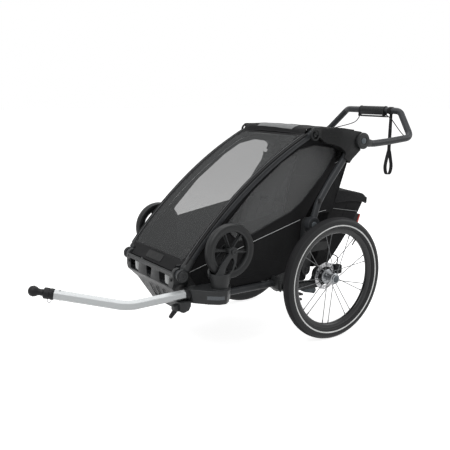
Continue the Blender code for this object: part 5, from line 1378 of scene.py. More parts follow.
# ------------------------------------------------------------- back of the cab
@dataclass
class CabBack:
    """Back cloth with its sewn panel, gussets and the reflecting arcs beside the uprights."""

    half_x: float = 0.1985
    top: float = 0.7665
    low: float = 0.5005

    @staticmethod
    def panel_y(z: float) -> float:
        """Place of the back's rear face at a height."""
        return 0.154 + (z - 0.711) * 0.37

    def place(self, u: float, v: float) -> Vector:
        """Point of the back for a flat (x, height) pair."""
        share = (v - self.low) / (self.top - self.low)
        puff = 0.004 * (1 - (u / self.half_x) ** 2) * math.sin(math.pi * share)
        fold = 0.0009 * math.sin(u * 60.0) * (1 - share)
        return Vector((u, self.panel_y(v) - 0.0022 - puff + fold, v))

    def build(self) -> None:
        """Make the back, its sewn panel and the two gussets."""
        x = self.half_x
        outline = [(-x, self.low), (x, self.low), (x, self.top), (-x, self.top)]
        frame_line = rounded([(-0.140, 0.600, 0.03), (0.140, 0.600, 0.03), (0.152, 0.738, 0.03),
                              (-0.152, 0.738, 0.03)], 6, closed=True)
        back = Vector((0.0, 0.0011, 0.0))
        parts = [cloth([outline], 0.012, self.place, 0.0016)]
        parts.append(tinted(sweep([self.place(*p) + back for p in frame_line], 0.0014, 8, True), 1))
        zip_line = [self.place(-0.120 + 0.240 * k / 24, 0.622) + back for k in range(25)]
        parts.append(tinted(sweep(zip_line, 0.0022, 8), 2))
        pull = self.place(0.121, 0.622) + Vector((0.0, 0.0030, -0.006))
        half = Vector((0.0035, 0.0012, 0.0100))
        parts.append(tinted(block(pull - half, pull + half, 0.0008), 2))
        for _, side in SIDES:
            parts.append(self.gusset(side))
            edge = [Vector((side * (x - 0.0005), self.panel_y(z) - 0.001, z))
                    for z in (self.low + (self.top - self.low) * k / 20 for k in range(21))]
            parts.append(tinted(sweep(edge, 0.0017, 8), 1))
            arc = flowing([(0.2025, 0.0673, 0.7768), (0.2030, 0.1035, 0.7650),
                           (0.2035, 0.1250, 0.7390), (0.2030, 0.1105, 0.7155),
                           (0.2025, 0.0790, 0.7030)], 8)
            parts.append(tinted(sweep([(side * p.x, p.y, p.z) for p in arc], 0.0011, 8), 3))
            short = flowing([(-0.0066, 0.5048), (0.0180, 0.5085), (0.0411, 0.5105)], 6)
            row = [Vector((side * (x + 0.0009), *p)) for p in short]
            parts.append(tinted(sweep(row, 0.0011, 8), 3))
        finished("cab_back_cloth", gathered(*parts), [CLOTH, BINDING, PLASTIC_DEEP, PIPING],
                 "rear_frame", ["back_panel"])

    def gusset(self, side: int) -> Mesh:
        """Side cloth of the back, reaching forward to the uprights."""
        outline = [(self.panel_y(self.top) - 0.002, self.top),
                   (self.panel_y(self.low) - 0.002, self.low),
                   (-0.034, self.low), (0.041, 0.631), (LAYOUT.rear_bar[0] + 0.002, self.top)]

        def to_space(u: float, v: float) -> Vector:
            """Point of the gusset for a flat (y, z) pair."""
            return Vector((side * (self.half_x - 0.0010 - 0.0010 * math.sin(60.0 * (u + v))), u, v))
        return cloth([outline], 0.014, to_space, 0.0014)


# ------------------------------------------------------------------- cargo bag
@dataclass
class CargoBag:
    """Lofted bag that sags behind the cab, with its lid, piping and reflectors."""

    half_x: float = 0.1676
    columns: int = 112
    rows: int = 26
    profile: tuple[tuple[float, float], ...] = (
        (0.110, 0.272), (0.150, 0.320), (0.201, 0.383), (0.250, 0.447), (0.283, 0.500),
        (0.300, 0.529))

    def outer_y(self, z: float) -> float:
        """Rear face of the bag at a height."""
        row = self.profile
        if z <= row[0][1]:
            return row[0][0]
        for (y0, z0), (y1, z1) in zip(row, row[1:]):
            if z <= z1:
                return y0 + (y1 - y0) * (z - z0) / (z1 - z0)
        return row[-1][0]

    @staticmethod
    def inner_y(z: float) -> float:
        """Front face of the bag at a height."""
        return 0.0075 + (z - 0.262) * 0.3165

    def rim_z(self, y: float) -> float:
        """Height of the bag's rim at a place along the trailer."""
        return 0.569 - (y - 0.105) * 0.205

    def ring(self, turn: float, height: float) -> Vector:
        """Point of the bag's wall.

        Args:
            turn: Share of the way round the bag.
            height: Share of the way from its bottom to its rim.

        Returns:
            The point.
        """
        c, s = math.cos(TAU * turn), math.sin(TAU * turn)
        power = 0.13
        u = math.copysign(abs(c) ** power, c)
        w = math.copysign(abs(s) ** power, s)
        round_off = 1.0 - 0.06 * (1.0 - height) ** 6
        z = 0.264 + height * (0.569 - 0.264)
        y0, y1 = self.inner_y(z), self.outer_y(min(z, 0.529))
        y = (y0 + y1) / 2 + w * (y1 - y0) / 2 * round_off
        z = 0.264 + height * (self.rim_z(y) - 0.264)
        y0, y1 = self.inner_y(z), self.outer_y(min(z, 0.529))
        y = (y0 + y1) / 2 + w * (y1 - y0) / 2 * round_off
        x = u * self.half_x * round_off
        belly = math.sin(math.pi * height)
        fold = 0.0014 * math.sin(TAU * turn * 9 + 5.0 * height) * belly
        fold += 0.0010 * math.sin(38.0 * z + 14.0 * turn) * belly
        sag = (1 - u * u) * (1 - 0.5 * abs(w))
        x -= math.copysign(0.0025 * belly + fold, u) * min(1.0, 3 * (1 - abs(w))) * (abs(u) > 0.5)
        y += (0.004 * belly * sag - fold) * (w > 0.5) * min(1.0, 3 * (1 - abs(u)))
        return Vector((x, y, z))

    def build(self) -> None:
        """Make the shell, its trims and the lid."""
        bm = bmesh.new()
        bmesh.ops.create_grid(bm, x_segments=self.columns, y_segments=self.rows, size=1.0)
        layer = bm.loops.layers.uv.new("flat")
        for face in bm.faces:
            for loop in face.loops:
                loop[layer].uv = (loop.vert.co.x * 0.52, loop.vert.co.y * 0.17)
        bottom = [v for v in bm.verts if v.co.y < -0.999]
        for vert in bm.verts:
            vert.co = self.ring((vert.co.x + 1) / 2, (vert.co.y + 1) / 2)
        bmesh.ops.remove_doubles(bm, verts=bm.verts, dist=1e-5)
        rim = [e for e in bm.edges
               if e.is_boundary and e.verts[0] in bottom and e.verts[1] in bottom]
        bmesh.ops.holes_fill(bm, edges=rim, sides=0)
        bmesh.ops.recalc_face_normals(bm, faces=bm.faces)
        bmesh.ops.solidify(bm, geom=bm.faces[:], thickness=0.0018)
        bmesh.ops.recalc_face_normals(bm, faces=bm.faces)
        parts = [bm]
        parts.append(tinted(self.band(0.995, 0.0021), 1))
        parts.append(tinted(self.piping(), 2))
        parts += [tinted(self.seam(t), 1) for t in (0.135, 0.365, 0.635, 0.865)]
        shell = finished("cargo_bag_shell", gathered(*parts), [CLOTH, BINDING, PIPING],
                         "rear_frame", ["cargo_bag"])
        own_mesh(shell)
        self.reflectors()
        self.lid()

    def band(self, height: float, radius: float) -> Mesh:
        """Binding round the bag at a height."""
        row = [self.ring(k / self.columns, height) for k in range(self.columns)]
        return sweep(row, radius, 8, cyclic=True)

    def piping(self) -> Mesh:
        """Pale piping under the rim, round the sides and rear."""
        row = []
        for k in range(61):
            turn = -0.04 + 0.58 * k / 60
            point = self.ring(turn % 1.0, 0.80)
            out = Vector((point.x, point.y - 0.19, 0.0)).normalized()
            row.append(point + out * 0.0016)
        return sweep(row, 0.0013, 8)

    def seam(self, turn: float) -> Mesh:
        """Corner seam from the rim to the bottom."""
        row = [self.ring(turn, 0.03 + 0.95 * k / 24) for k in range(25)]
        return sweep(row, 0.0013, 6)

    def reflectors(self) -> None:
        """Two upright red reflectors on black wedges at the bag's rear corners."""
        parts = []
        for _, side in SIDES:
            low_x, high_x = sorted((side * 0.118, side * 0.157))
            wedge = [(self.outer_y(0.4660) - 0.002, 0.4660), (0.2790, 0.4660), (0.2790, 0.4160),
                     (self.outer_y(0.4160) + 0.006, 0.4160), (self.outer_y(0.4160) - 0.002, 0.4260)]
            wedge = slab([wedge], "YZ", low_x, high_x, 0.0012)
            lens = block((low_x + 0.002, 0.2770, 0.4180), (high_x + 0.002, 0.2860, 0.4640), 0.0012)
            for bm in (wedge, lens):
                for vert in bm.verts:
                    vert.co.y += (vert.co.z - 0.466) * 0.36
            parts += [wedge, tinted(lens, 1)]
        piece = finished("bag_reflectors", gathered(*parts), [PLASTIC_DEEP, GLASS_RED],
                         "rear_frame")
        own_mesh(piece)

    def lid(self) -> None:
        """Soft lid with a skirt down its sides, a rounded rear edge and a pull tab."""
        profile = rounded([(0.1128, 0.5885, 0.0), (0.205, 0.5765, 0.1), (0.288, 0.5545, 0.014),
                           (0.3040, 0.5385, 0.010), (0.3060, 0.5180, 0.0)], 6)
        lengths = [0.0]
        for a, b in zip(profile, profile[1:]):
            lengths.append(lengths[-1] + (b - a).length)
        total, half = lengths[-1], 0.1728

        def side_view(v: float) -> Vector:
            """Point of the lid's profile at a way along it."""
            k = min(max(i for i, length in enumerate(lengths) if length <= v + 1e-9),
                    len(profile) - 2)
            return profile[k].lerp(profile[k + 1], (v - lengths[k]) / (lengths[k + 1] - lengths[k]))

        def to_space(u: float, v: float) -> Vector:
            """Point of the lid for a flat (x, way along) pair."""
            point = side_view(v)
            wave = math.sin(math.pi * min(1.0, v / total))
            crown = 0.0065 * (1 - min(1.0, abs(u) / half) ** 2) * wave
            dent = 0.0012 * math.sin(u * 38.0 + 4.0 + 20.0 * v) * wave
            over = max(0.0, abs(u) - half + 0.006)
            turn = min(over / 0.006, math.pi / 2)
            drop = 0.006 * (1 - math.cos(turn)) + max(0.0, over - 0.006 * math.pi / 2)
            inset = 0.006 * (1 - math.sin(turn)) if over else 0.0
            x = min(abs(u), half - 0.006) + (0.006 - inset if over else 0.0)
            return Vector((math.copysign(x, u), point.x, point.y + crown + dent - drop))
        edge = [(half + 0.052, 0.006), (half + 0.050, 0.030), (half + 0.030, 0.186),
                (half + 0.026, 0.196), (half - 0.004, 0.200), (half - 0.004, total)]
        cut = [(-half - 0.052, 0.006), (-half + 0.002, 0.0), (half - 0.002, 0.0), *edge,
               *[(-u, v) for u, v in reversed(edge[1:])]]
        flap = cloth([cut], 0.010, to_space, 0.0026)
        hem = [to_space(u, min(v, total - 0.0004)) for u, v in
               (Vector(a).lerp(Vector(b), k / 8) for a, b in zip(cut, [*cut[1:], cut[0]])
                for k in range(8))]
        tab = block((-0.010, 0.3050, 0.5020), (0.010, 0.3075, 0.5270), 0.0008)
        parts = [flap, tinted(sweep(hem, 0.0019, 8, cyclic=True), 1), tinted(tab, 1)]
        # the lid wears the paler copy of the cloth, which paints the light on its top
        finished("bag_lid_flap", gathered(*parts), [LID_CLOTH_TOPLIT, BINDING], "bag_lid", ["bag_lid"])


# ---------------------------------------------------------------- seat inside
@dataclass
class Seat:
    """Padded sling seat with sewn channels, its headrest and harness."""

    half_x: float = 0.155
    thick: float = 0.026
    path: tuple[tuple[float, float], ...] = (
        (-0.440, 0.335), (-0.330, 0.312), (-0.215, 0.318), (-0.160, 0.385), (-0.105, 0.540),
        (-0.035, 0.735))

    def line(self, share: float) -> tuple[Vector, Vector]:
        """Middle point and normal of the seat at a share of its length."""
        route = flowing([(0.0, y, z) for y, z in self.path], 12)
        spot = min(max(share, 0.0), 1.0) * (len(route) - 1)
        k = min(int(spot), len(route) - 2)
        along = (route[k + 1] - route[k]).normalized()
        return route[k].lerp(route[k + 1], spot - k), Vector((0.0, -along.z, along.y))

    def pad(self) -> Mesh:
        """Closed pad before it swells: two faces joined round their rim."""
        layers = []
        for face in (1, -1):
            bm = bmesh.new()
            bmesh.ops.create_grid(bm, x_segments=24, y_segments=64, size=1.0)
            for vert in bm.verts:
                u, share = vert.co.x, (vert.co.y + 1) / 2
                point, normal = self.line(share)
                pull = 1.0 - 0.05 * math.sin(math.pi * share * 5) ** 2
                rim = (1 - abs(u) ** 4) * min(1.0, 10 * min(share, 1 - share) + 0.1)
                wing = 0.020 * max(0.0, abs(u) - 0.72) / 0.28 * (0.3 + 0.7 * (share > 0.45))
                lift = self.thick / 2 * (0.35 + 0.65 * rim)
                width = self.half_x * (1.0 - 0.28 * max(0.0, share - 0.55) / 0.45)
                vert.co = point + normal * (face * lift + wing) + Vector((u * width * pull, 0, 0))
            layers.append(bm)
        whole = gathered(*layers)
        edges = [e for e in whole.edges if e.is_boundary]
        bmesh.ops.bridge_loops(whole, edges=edges)
        bmesh.ops.recalc_face_normals(whole, faces=whole.faces)
        return whole

    def build(self) -> None:
        """Make the pad, sew its channels and add the harness."""
        pad = finished("seat_pad", self.pad(), [PADDING], None, ["seat_cushion"], 80.0)
        swollen(pad, 0.0055, 4.0, 0.010)
        self.sew(pad)
        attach(pad, "base")
        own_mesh(pad)
        self.apron()
        self.wings()
        self.harness()

    def wings(self) -> None:
        """Cloth sides that rise from the seat's edges to its belts."""
        outline = rounded([(-0.452, 0.352, 0.01), (-0.456, 0.478, 0.02), (-0.300, 0.503, 0.1),
                           (-0.166, 0.524, 0.02), (-0.128, 0.500, 0.02), (-0.158, 0.405, 0.03),
                           (-0.215, 0.336, 0.03), (-0.330, 0.330, 0.03)], 5, closed=True)
        parts = []
        for _, side in SIDES:
            def to_space(u: float, v: float, side: int = side) -> Vector:
                """Point of one wing for a flat (y, z) pair."""
                rise = max(0.0, min(1.0, (v - 0.33) / 0.17))
                return Vector((side * (0.156 + 0.016 * rise + 0.0012 * math.sin(50.0 * u)), u, v))
            parts.append(cloth([outline], 0.014, to_space, 0.0014))
            rim = [to_space(p.x, p.y) for p in outline]
            parts.append(tinted(sweep(rim, 0.0018, 8, cyclic=True), 1))
        piece = finished("seat_wings", gathered(*parts), [LINER, BINDING], "base")
        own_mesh(piece)

    def sew(self, pad: bpy.types.Object) -> None:
        """Press the sewn channels and the piped rim into the pad."""
        rows = [(share, *self.line(share)) for share in (0.2, 0.4, 0.6, 0.8)]
        for vert in pad.data.vertices:
            local = vert.co - Vector((0.0, AXLE_Y, 0.0))
            for _, point, normal in rows:
                offset = local - point
                height = offset.dot(normal)
                along = Vector((0.0, normal.z, -normal.y))
                near = math.exp(-(offset.dot(along) / 0.006) ** 2)
                if abs(height) < 0.05:
                    vert.co -= normal * height * 0.55 * near
            ridge = math.exp(-((abs(local.x) - 0.092) / 0.005) ** 2)
            nearest = min(rows, key=lambda row: (row[1] - local).length)
            height = (local - nearest[1]).dot(nearest[2])
            if abs(height) < 0.05:
                vert.co -= nearest[2] * height * 0.30 * ridge
        pad.data.update()

    def apron(self) -> None:
        """Cloth that ties the seat's underside to the base loop."""
        def to_space(u: float, v: float) -> Vector:
            """Point of the apron for a flat (x, height) pair."""
            return Vector((u, -0.2360 + 0.0015 * math.sin(u * 55.0), v))
        sheet = cloth([[(-0.130, 0.2572), (0.130, 0.2572), (0.130, 0.3010), (-0.130, 0.3010)]],
                      0.012, to_space, 0.0014)
        piece = finished("seat_apron", sheet, [LINER], "base")
        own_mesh(piece)

    def harness(self) -> None:
        """Shoulder straps with pads, crotch strap and buckle."""
        def over(share: float, x: float, lift: float) -> Vector:
            """Point over the seat."""
            point, normal = self.line(share)
            return point + normal * (self.thick / 2 + lift) + Vector((x, 0.0, 0.0))
        buckle = over(0.52, 0.0, 0.026)
        parts = []
        for side in (1, -1):
            row = flowing([over(0.93, side * 0.045, 0.002), over(0.84, side * 0.046, 0.008),
                           over(0.72, side * 0.044, 0.010), over(0.62, side * 0.030, 0.018),
                           buckle + Vector((side * 0.008, 0.0, 0.004))], 8)
            parts.append(ribbon(row, [(1.0, 0.0, 0.0)], 0.024, 0.0016))
            cover = row[6:22]
            parts.append(tinted(ribbon([p + Vector((0, -0.003, 0.001)) for p in cover],
                                       [(1.0, 0.0, 0.0)], 0.042, 0.0060), 1))
        row = flowing([over(0.30, 0.0, 0.002), over(0.40, 0.0, 0.010), buckle], 8)
        parts.append(ribbon(row, [(1.0, 0.0, 0.0)], 0.030, 0.0016))
        half = Vector((0.020, 0.008, 0.020))
        parts.append(tinted(block(buckle - half, buckle + half, 0.005, 3), 2))
        parts.append(tinted(bar(buckle + Vector((0.0, -0.0100, 0.0)),
                                buckle + Vector((0.0, -0.0070, 0.0)), 0.009, soft=0.001), 3))
        piece = finished("harness_straps", gathered(*parts),
                         [WEBBING, PADDING, PLASTIC_DEEP, BUTTON], "base", ["harness"])
        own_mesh(piece)


def swollen(piece: bpy.types.Object, voxel: float, pressure: float, cap: float) -> None:
    """Blow a closed pad up with a cloth simulation and keep its result.

    Args:
        piece: The pad.
        voxel: Size of the remesh.
        pressure: Pressure inside.
        cap: Furthest that a point may move.
    """
    scene = bpy.context.scene
    remesh = piece.modifiers.new("remesh", "REMESH")
    remesh.mode = "VOXEL"
    remesh.voxel_size = voxel
    remesh.use_smooth_shade = True
    apply_all(piece)
    before = [v.co.copy() for v in piece.data.vertices]
    sim = piece.modifiers.new("swell", "CLOTH")
    sim.settings.quality = 4
    sim.settings.mass = 0.25
    sim.settings.use_pressure = True
    sim.settings.uniform_pressure_force = pressure
    sim.settings.tension_stiffness = 18.0
    sim.settings.compression_stiffness = 18.0
    sim.settings.bending_stiffness = 2.0
    sim.settings.effector_weights.gravity = 0.0
    sim.point_cache.frame_start = 1
    sim.point_cache.frame_end = 20
    for step in range(1, 21):
        scene.frame_set(step)
    apply_all(piece)
    scene.frame_set(1)
    for vert, old in zip(piece.data.vertices, before):
        move = vert.co - old
        if move.length > cap:
            vert.co = old + move * (cap / move.length)
    bm = bmesh.new()
    bm.from_mesh(piece.data)
    bmesh.ops.smooth_vert(bm, verts=bm.verts, factor=0.5, use_axis_x=True, use_axis_y=True,
                          use_axis_z=True)
    bm.to_mesh(piece.data)
    bm.free()
    piece.data.shade_smooth()


def apply_all(piece: bpy.types.Object) -> None:
    """Settle a piece's modifiers into its mesh."""
    graph = bpy.context.evaluated_depsgraph_get()
    mesh = bpy.data.meshes.new_from_object(piece.evaluated_get(graph))
    piece.modifiers.clear()
    piece.data = mesh


# ------------------------------------------------------------------- handlebar
@dataclass
class Handle:
    """Grip, lever, hubs, cables and wrist strap of the handlebar."""

    grip_from: float = -0.055
    grip_to: float = 0.098
    grip_r: float = 0.0175
    cable_r: float = 0.0022

    def build(self) -> None:
        """Make and dress the handlebar's pieces."""
        self.grip()
        self.lever()
        for tag, side in SIDES:
            self.hub(tag, side)
            refined("hub_button_" + tag, BUTTON, 0.0010)
            self.cable(tag, side)
        self.strap()

    def grip(self) -> None:
        """Foam sleeve with ribs and the two clamps that carry the lever."""
        y, z = LAYOUT.bar_top
        r = self.grip_r
        low, high = self.grip_from, self.grip_to
        rows = [(low, 0.0134), (low, r + 0.0005), (low + 0.001, r + 0.0015),
                (low + 0.0045, r + 0.0015), (low + 0.0055, r)]
        count = 9
        for k in range(count):
            x = low + 0.012 + (high - low - 0.024) * k / (count - 1)
            rows += [(x - 0.0032, r), (x - 0.0016, r - 0.0007), (x + 0.0016, r - 0.0007),
                     (x + 0.0032, r)]
        rows += [(high - 0.0055, r), (high - 0.0045, r + 0.0015), (high - 0.001, r + 0.0015),
                 (high, r + 0.0005), (high, 0.0134)]
        parts = [lathe(rows, (y, z), 48)]
        pivot = (y - 0.014, z - r - 0.008)
        for end, inward in ((low, 1), (high, -1)):
            a, b = sorted((end, end + inward * 0.0055))
            ear = [(y - 0.0185, z - 0.002), (y - 0.0190, z - 0.0255), (y - 0.0165, z - 0.0300),
                   (y - 0.0115, z - 0.0300), (y + 0.0095, z - 0.0150), (y + 0.0150, z - 0.002)]
            parts.append(tinted(slab([ear], "YZ", a, b, 0.0008), 1))
            parts.append(tinted(bar((end + inward * 0.004, *pivot), (end + inward * 0.011, *pivot),
                                    0.0016, segments=12), 1))
        rail = [(y - 0.0172, z - 0.0040), (y - 0.0174, z - 0.0198), (y - 0.0128, z - 0.0204),
                (y - 0.0122, z - 0.0100)]
        parts.append(tinted(slab([rail], "YZ", low + 0.0050, high - 0.0050, 0.0006), 1))
        self.cut_bore(parts[1:], y, z)
        finished("grip_sleeve", gathered(*parts), [GRIP, PLASTIC_DEEP], "handlebar",
                 ["handlebar_grip"])

    def lever(self) -> None:
        """Brake lever: a curved blade along the grip's underside."""
        y, z = LAYOUT.bar_top
        low, high = self.grip_from + 0.0058, self.grip_to - 0.0058
        py, pz = y - 0.014, z - 0.0255
        outline = rounded([(py - 0.0045, pz + 0.0035, 0.003), (y - 0.002, pz + 0.0012, 0.006),
                           (y + 0.0205, pz - 0.0005, 0.003), (y + 0.0220, pz - 0.0065, 0.003),
                           (y + 0.004, pz - 0.0060, 0.010), (py - 0.0045, pz - 0.0045, 0.003)],
                          4, closed=True)
        blade = slab([outline], "YZ", low, high, 0.0014)
        finished("brake_lever_blade", blade, [PLASTIC], "brake_lever", ["brake_lever"])

    @staticmethod
    def cut_bore(parts: Sequence[Mesh], y: float, z: float) -> None:
        """Keep the ears' tops below the bar, so that they do not fill its bore."""
        for bm in parts:
            for vert in bm.verts:
                offset = Vector((vert.co.y - y, vert.co.z - z))
                if 1e-6 < offset.length < 0.0134:
                    offset = offset.normalized() * 0.0134
                    vert.co.y, vert.co.z = y + offset.x, z + offset.y

    def hub(self, tag: str, side: int) -> None:
        """Hub of the handlebar with a raised ring round its button."""
        outer = 0.2650
        ring = lathe([(side * (outer - 0.002), 0.0165), (side * (outer - 0.002), 0.0275),
                      (side * (outer + 0.0004), 0.0275), (side * (outer + 0.0018), 0.0260),
                      (side * (outer + 0.0018), 0.0185), (side * (outer + 0.0008), 0.0165)],
                     LAYOUT.bar_pivot, 56)
        refined("handlebar_hub_" + tag, PLASTIC, 0.0018, [ring])

    def cable(self, tag: str, side: int) -> None:
        """Brake cable from the grip's clamp to the side tube."""
        y, z = LAYOUT.bar_top
        start = self.grip_to + 0.0006 if side > 0 else 0.0006 - self.grip_from
        stretch = (0.248 - start) / 0.150
        sag = [(0.0, -0.004, -0.0025), (0.005, -0.004, -0.0025), (0.012, 0.004, -0.010),
               (0.022, 0.0145, -0.022), (0.048, 0.0135, -0.046)]
        row = [(side * (start + px * stretch), y + py, z - self.grip_r + pz) for px, py, pz in sag]
        row += [(side * 0.202, 0.462, 0.8185), (side * 0.248, 0.433, 0.8050)]
        parts = [sweep(flowing(row, 10), self.cable_r, 12)]
        parts.append(bar(row[0], Vector(row[1]) + Vector((side * 0.004, 0.0, 0.0)), 0.0032, 0.0025,
                         segments=16, soft=0.0004))
        finished("brake_cable_%s_run" % tag, gathered(*parts), [CABLE], "handlebar",
                 ["brake_cable_" + tag])

    def strap(self) -> None:
        """Wrist strap: doubled webbing that opens into a loop at its end."""
        x, y, z = 0.126, 0.4795, 0.9078
        top = z - 0.0133
        stem = [Vector((x, y, top - 0.160 * k / 10)) for k in range(11)]
        bends = [(0.0, 0.160), (-0.012, 0.200), (-0.019, 0.235), (-0.013, 0.264), (0.0, 0.2725),
                 (0.013, 0.264), (0.019, 0.235), (0.012, 0.200), (0.0022, 0.164)]
        loop = flowing([(x, y + aside, top - drop) for aside, drop in bends], 6)
        route = stem + loop[1:]
        length = sum((b - a).length for a, b in zip(route, route[1:]))
        turns = [min(1.0, k / 10) * 0.95 for k in range(len(route))]
        band = ribbon(route, [(math.cos(t), math.sin(t), 0.0) for t in turns], 0.0150, 0.0024)
        strap = finished("wrist_strap_webbing", band, [WEBBING], "handlebar", ["wrist_strap"])
        stitch = block((x - 0.0078, y - 0.0030, top - 0.172), (x + 0.0078, y + 0.0040, top - 0.156),
                       0.0012)
        keeper = finished("wrist_strap_stitch", stitch, [WEBBING], "handlebar")
        collar = finished("wrist_strap_collar", self.collar(x, y, z), [WEBBING], "handlebar")
        at(*route[0])
        [at(*p) for p in route]

    @staticmethod
    def collar(x: float, y: float, z: float) -> Mesh:
        """Turn of webbing round the crossbar."""
        return lathe([(x - 0.0085, 0.0140), (x - 0.0085, 0.0164), (x + 0.0085, 0.0164),
                      (x + 0.0085, 0.0140)], (y, z), 40)


# --------------------------------------------------------------------- chassis
@dataclass
class Chassis:
    """Mouldings of the base: bumper, wings, rear brackets, links and pedal."""

    def build(self) -> None:
        """Dress the base's mouldings."""
        self.bumper()
        self.floor()
        for tag, side in SIDES:
            self.wing(tag, side)
            self.rear_bracket(tag, side)
            self.knee(tag, side)
            self.bracket(tag, side)
        self.receiver()
        refined("parking_pedal", PLASTIC, 0.0008)

    def bumper(self) -> None:
        """Front moulding with its rim, ribs and reflectors."""
        extras = []
        rim = rounded([(-0.186, -0.612, 0.0), (-0.186, -0.6745, 0.014), (0.186, -0.6745, 0.014),
                       (0.186, -0.612, 0.0)], 8)
        extras.append(sweep([(p.x, p.y, 0.3452) for p in rim], 0.0036, 12))
        for x in (-0.055, 0.0, 0.055):
            row = [(x * 0.95, -0.6462, 0.248), (x * 0.80, -0.6302, 0.212),
                   (x * 0.62, -0.6140, 0.178)]
            extras.append(sweep(flowing(row, 5), 0.0016, 8))
        for x in (-0.170, 0.170):
            extras.append(bar((x, -0.6780, 0.318), (x, -0.6812, 0.318), 0.0065, soft=0.0008))
        for x in (-0.101, 0.139):
            lens = block((x - 0.017, -0.6745, 0.294), (x + 0.017, -0.6715, 0.329), 0.0012)
            extras.append(tinted(lens, 1))
        for _, side in SIDES:
            face = 0.2246
            ring = lathe([(side * (face - 0.001), 0.0165), (side * (face + 0.0014), 0.0158),
                          (side * (face + 0.0014), 0.0125), (side * (face - 0.001), 0.0118)],
                         LAYOUT.front_pivot, 48)
            extras += [ring, bolt(side, face, LAYOUT.front_pivot, 0.0062, 0.0016)]
        refined("front_bumper", PLASTIC, 0.0011, extras, [GLASS_GREY])

    def floor(self) -> None:
        """Floor cloth stretched in the base loop."""
        def to_space(u: float, v: float) -> Vector:
            """Point of the floor for a flat (x, y) pair."""
            along = min(1.0, max(0.0, (v + 0.59) / 0.32))
            sag = 0.003 * (1 - (u / 0.19) ** 2) * math.sin(math.pi * along)
            return Vector((u, v, LAYOUT.base_z + 0.0012 - sag + 0.0005 * math.sin(u * 40 + v * 25)))
        cut = rounded([(-0.1895, -0.5850, 0.042), (0.1895, -0.5850, 0.042), (0.1895, -0.2590, 0.0),
                       (-0.1895, -0.2590, 0.0)], 8, closed=True)
        piece = finished("floor_cloth", cloth([cut], 0.018, to_space, 0.0020), [CLOTH], "base",
                         ["floor_panel"])

    @staticmethod
    def hull(point: Vector) -> Vector:
        """Draw the wing's foot in under its top."""
        share = (0.2903 - point.z) / 0.0530
        return Vector((point.x - max(0.0, point.x - 0.235) * 0.10 * share,
                       point.y - min(0.0, point.y + 0.535) * 0.10 * share, point.z))

    def wing(self, tag: str, side: int) -> None:
        """Outrigger with its front reflector; the left one runs on over the arm's socket."""
        front = [(0.2001, -0.5900, 0.004), (0.2400, -0.5860, 0.02), (0.2860, -0.5660, 0.03)]
        if side > 0:
            front = [(0.1885, -0.5800, 0.0), (0.1885, -0.6395, 0.006), (0.2060, -0.6440, 0.01),
                     (0.2350, -0.6310, 0.02), (0.2850, -0.5880, 0.03)]
        outline = rounded([(0.2001, -0.4640, 0.004), *front, (0.3120, -0.5550, 0.03),
                           (0.3165, -0.5260, 0.010), (0.2980, -0.5050, 0.012),
                           (0.2450, -0.4650, 0.020)], 8, closed=True)
        shell = softened(slab([outline], "XY", 0.2372, 0.2903), 0.0060, 50.0, 4)
        face = rounded([(0.2800, -0.5923, 0.0), (0.2850, -0.5880, 0.03), (0.3120, -0.5550, 0.03),
                        (0.3150, -0.5360, 0.0)], 8)
        if side < 0:
            face = rounded([(0.2600, -0.5773, 0.0), (0.2860, -0.5660, 0.03),
                            (0.3120, -0.5550, 0.03), (0.3150, -0.5360, 0.0)], 8)
        lens = ribbon([self.hull(Vector((p.x + 0.0004, p.y - 0.0004, 0.2665))) for p in face],
                      [(0.0, 0.0, 1.0)], 0.0200, 0.0030)
        for vert in shell.verts:
            vert.co = self.hull(vert.co)
        collar = lathe([(0.2895, 0.0340), (0.2916, 0.0330), (0.2916, 0.0315), (0.2895, 0.0315)],
                       (0.0, 0.0), 48)
        bmesh.ops.transform(collar, verts=collar.verts, matrix=Matrix.Translation(
            (0.270, -0.530, 0.0)) @ Matrix.Rotation(-math.pi / 2, 4, "Y"))
        whole = gathered(shell, tinted(lens, 1), collar)
        if side < 0:
            bmesh.ops.scale(whole, vec=(-1.0, 1.0, 1.0), verts=whole.verts)
        bmesh.ops.recalc_face_normals(whole, faces=whole.faces)
        finished("wing_%s_shell" % tag, whole, [PLASTIC, GLASS_DARK], "base", ["wing_" + tag])

    def receiver(self) -> None:
        """Socket of the tow arm: its mouth, the block under it and the latch's nose."""
        under = slab([rounded([(-0.6750, 0.2480, 0.003), (-0.6750, 0.2130, 0.008),
                               (-0.6600, 0.2080, 0.010), (-0.6400, 0.2140, 0.008),
                               (-0.6310, 0.2300, 0.008), (-0.6310, 0.2480, 0.003)], 5, True)],
                     "YZ", 0.1890, 0.2370, 0.0030)
        nose = slab([rounded([(-0.6940, 0.2360, 0.003), (-0.6940, 0.2180, 0.004),
                              (-0.6700, 0.2120, 0.004), (-0.6700, 0.2400, 0.003)], 4, True)],
                    "YZ", 0.2010, 0.2250, 0.0020)
        mouth = bar((0.2132, -0.6300, 0.2708), (0.2136, -0.6475, 0.2706), 0.0212, 0.0200, 32,
                    0.0012)
        finished("hitch_receiver_socket", gathered(under, nose, tinted(mouth, 1)),
                 [PLASTIC, PLASTIC_DEEP], "base", ["hitch_receiver"])

    def rear_bracket(self, tag: str, side: int) -> None:
        """Rear corner bracket with its bolts."""
        extras = [bolt(side, 0.2399, (-0.226, 0.258), 0.0045),
                  bolt(side, 0.2379, (-0.190, 0.222), 0.0095)]
        refined("rear_bracket_" + tag, PLASTIC, 0.0022, extras,
                trims=[((0.0, -0.2350, 0.25), (0.0, -1.0, 0.0)),
                       ((0.0, -0.2349, 0.2270), (0.0, -0.67, -0.74))])

    def knee(self, tag: str, side: int) -> None:
        """Link between the base and the knee hub, and the hub's button."""
        extras = [bolt(side, 0.2249, (-0.079, 0.279), 0.0110, 0.0025)]
        refined("knee_link_" + tag, PLASTIC, 0.0016, extras)
        refined("knee_button_" + tag, BUTTON, 0.0010)

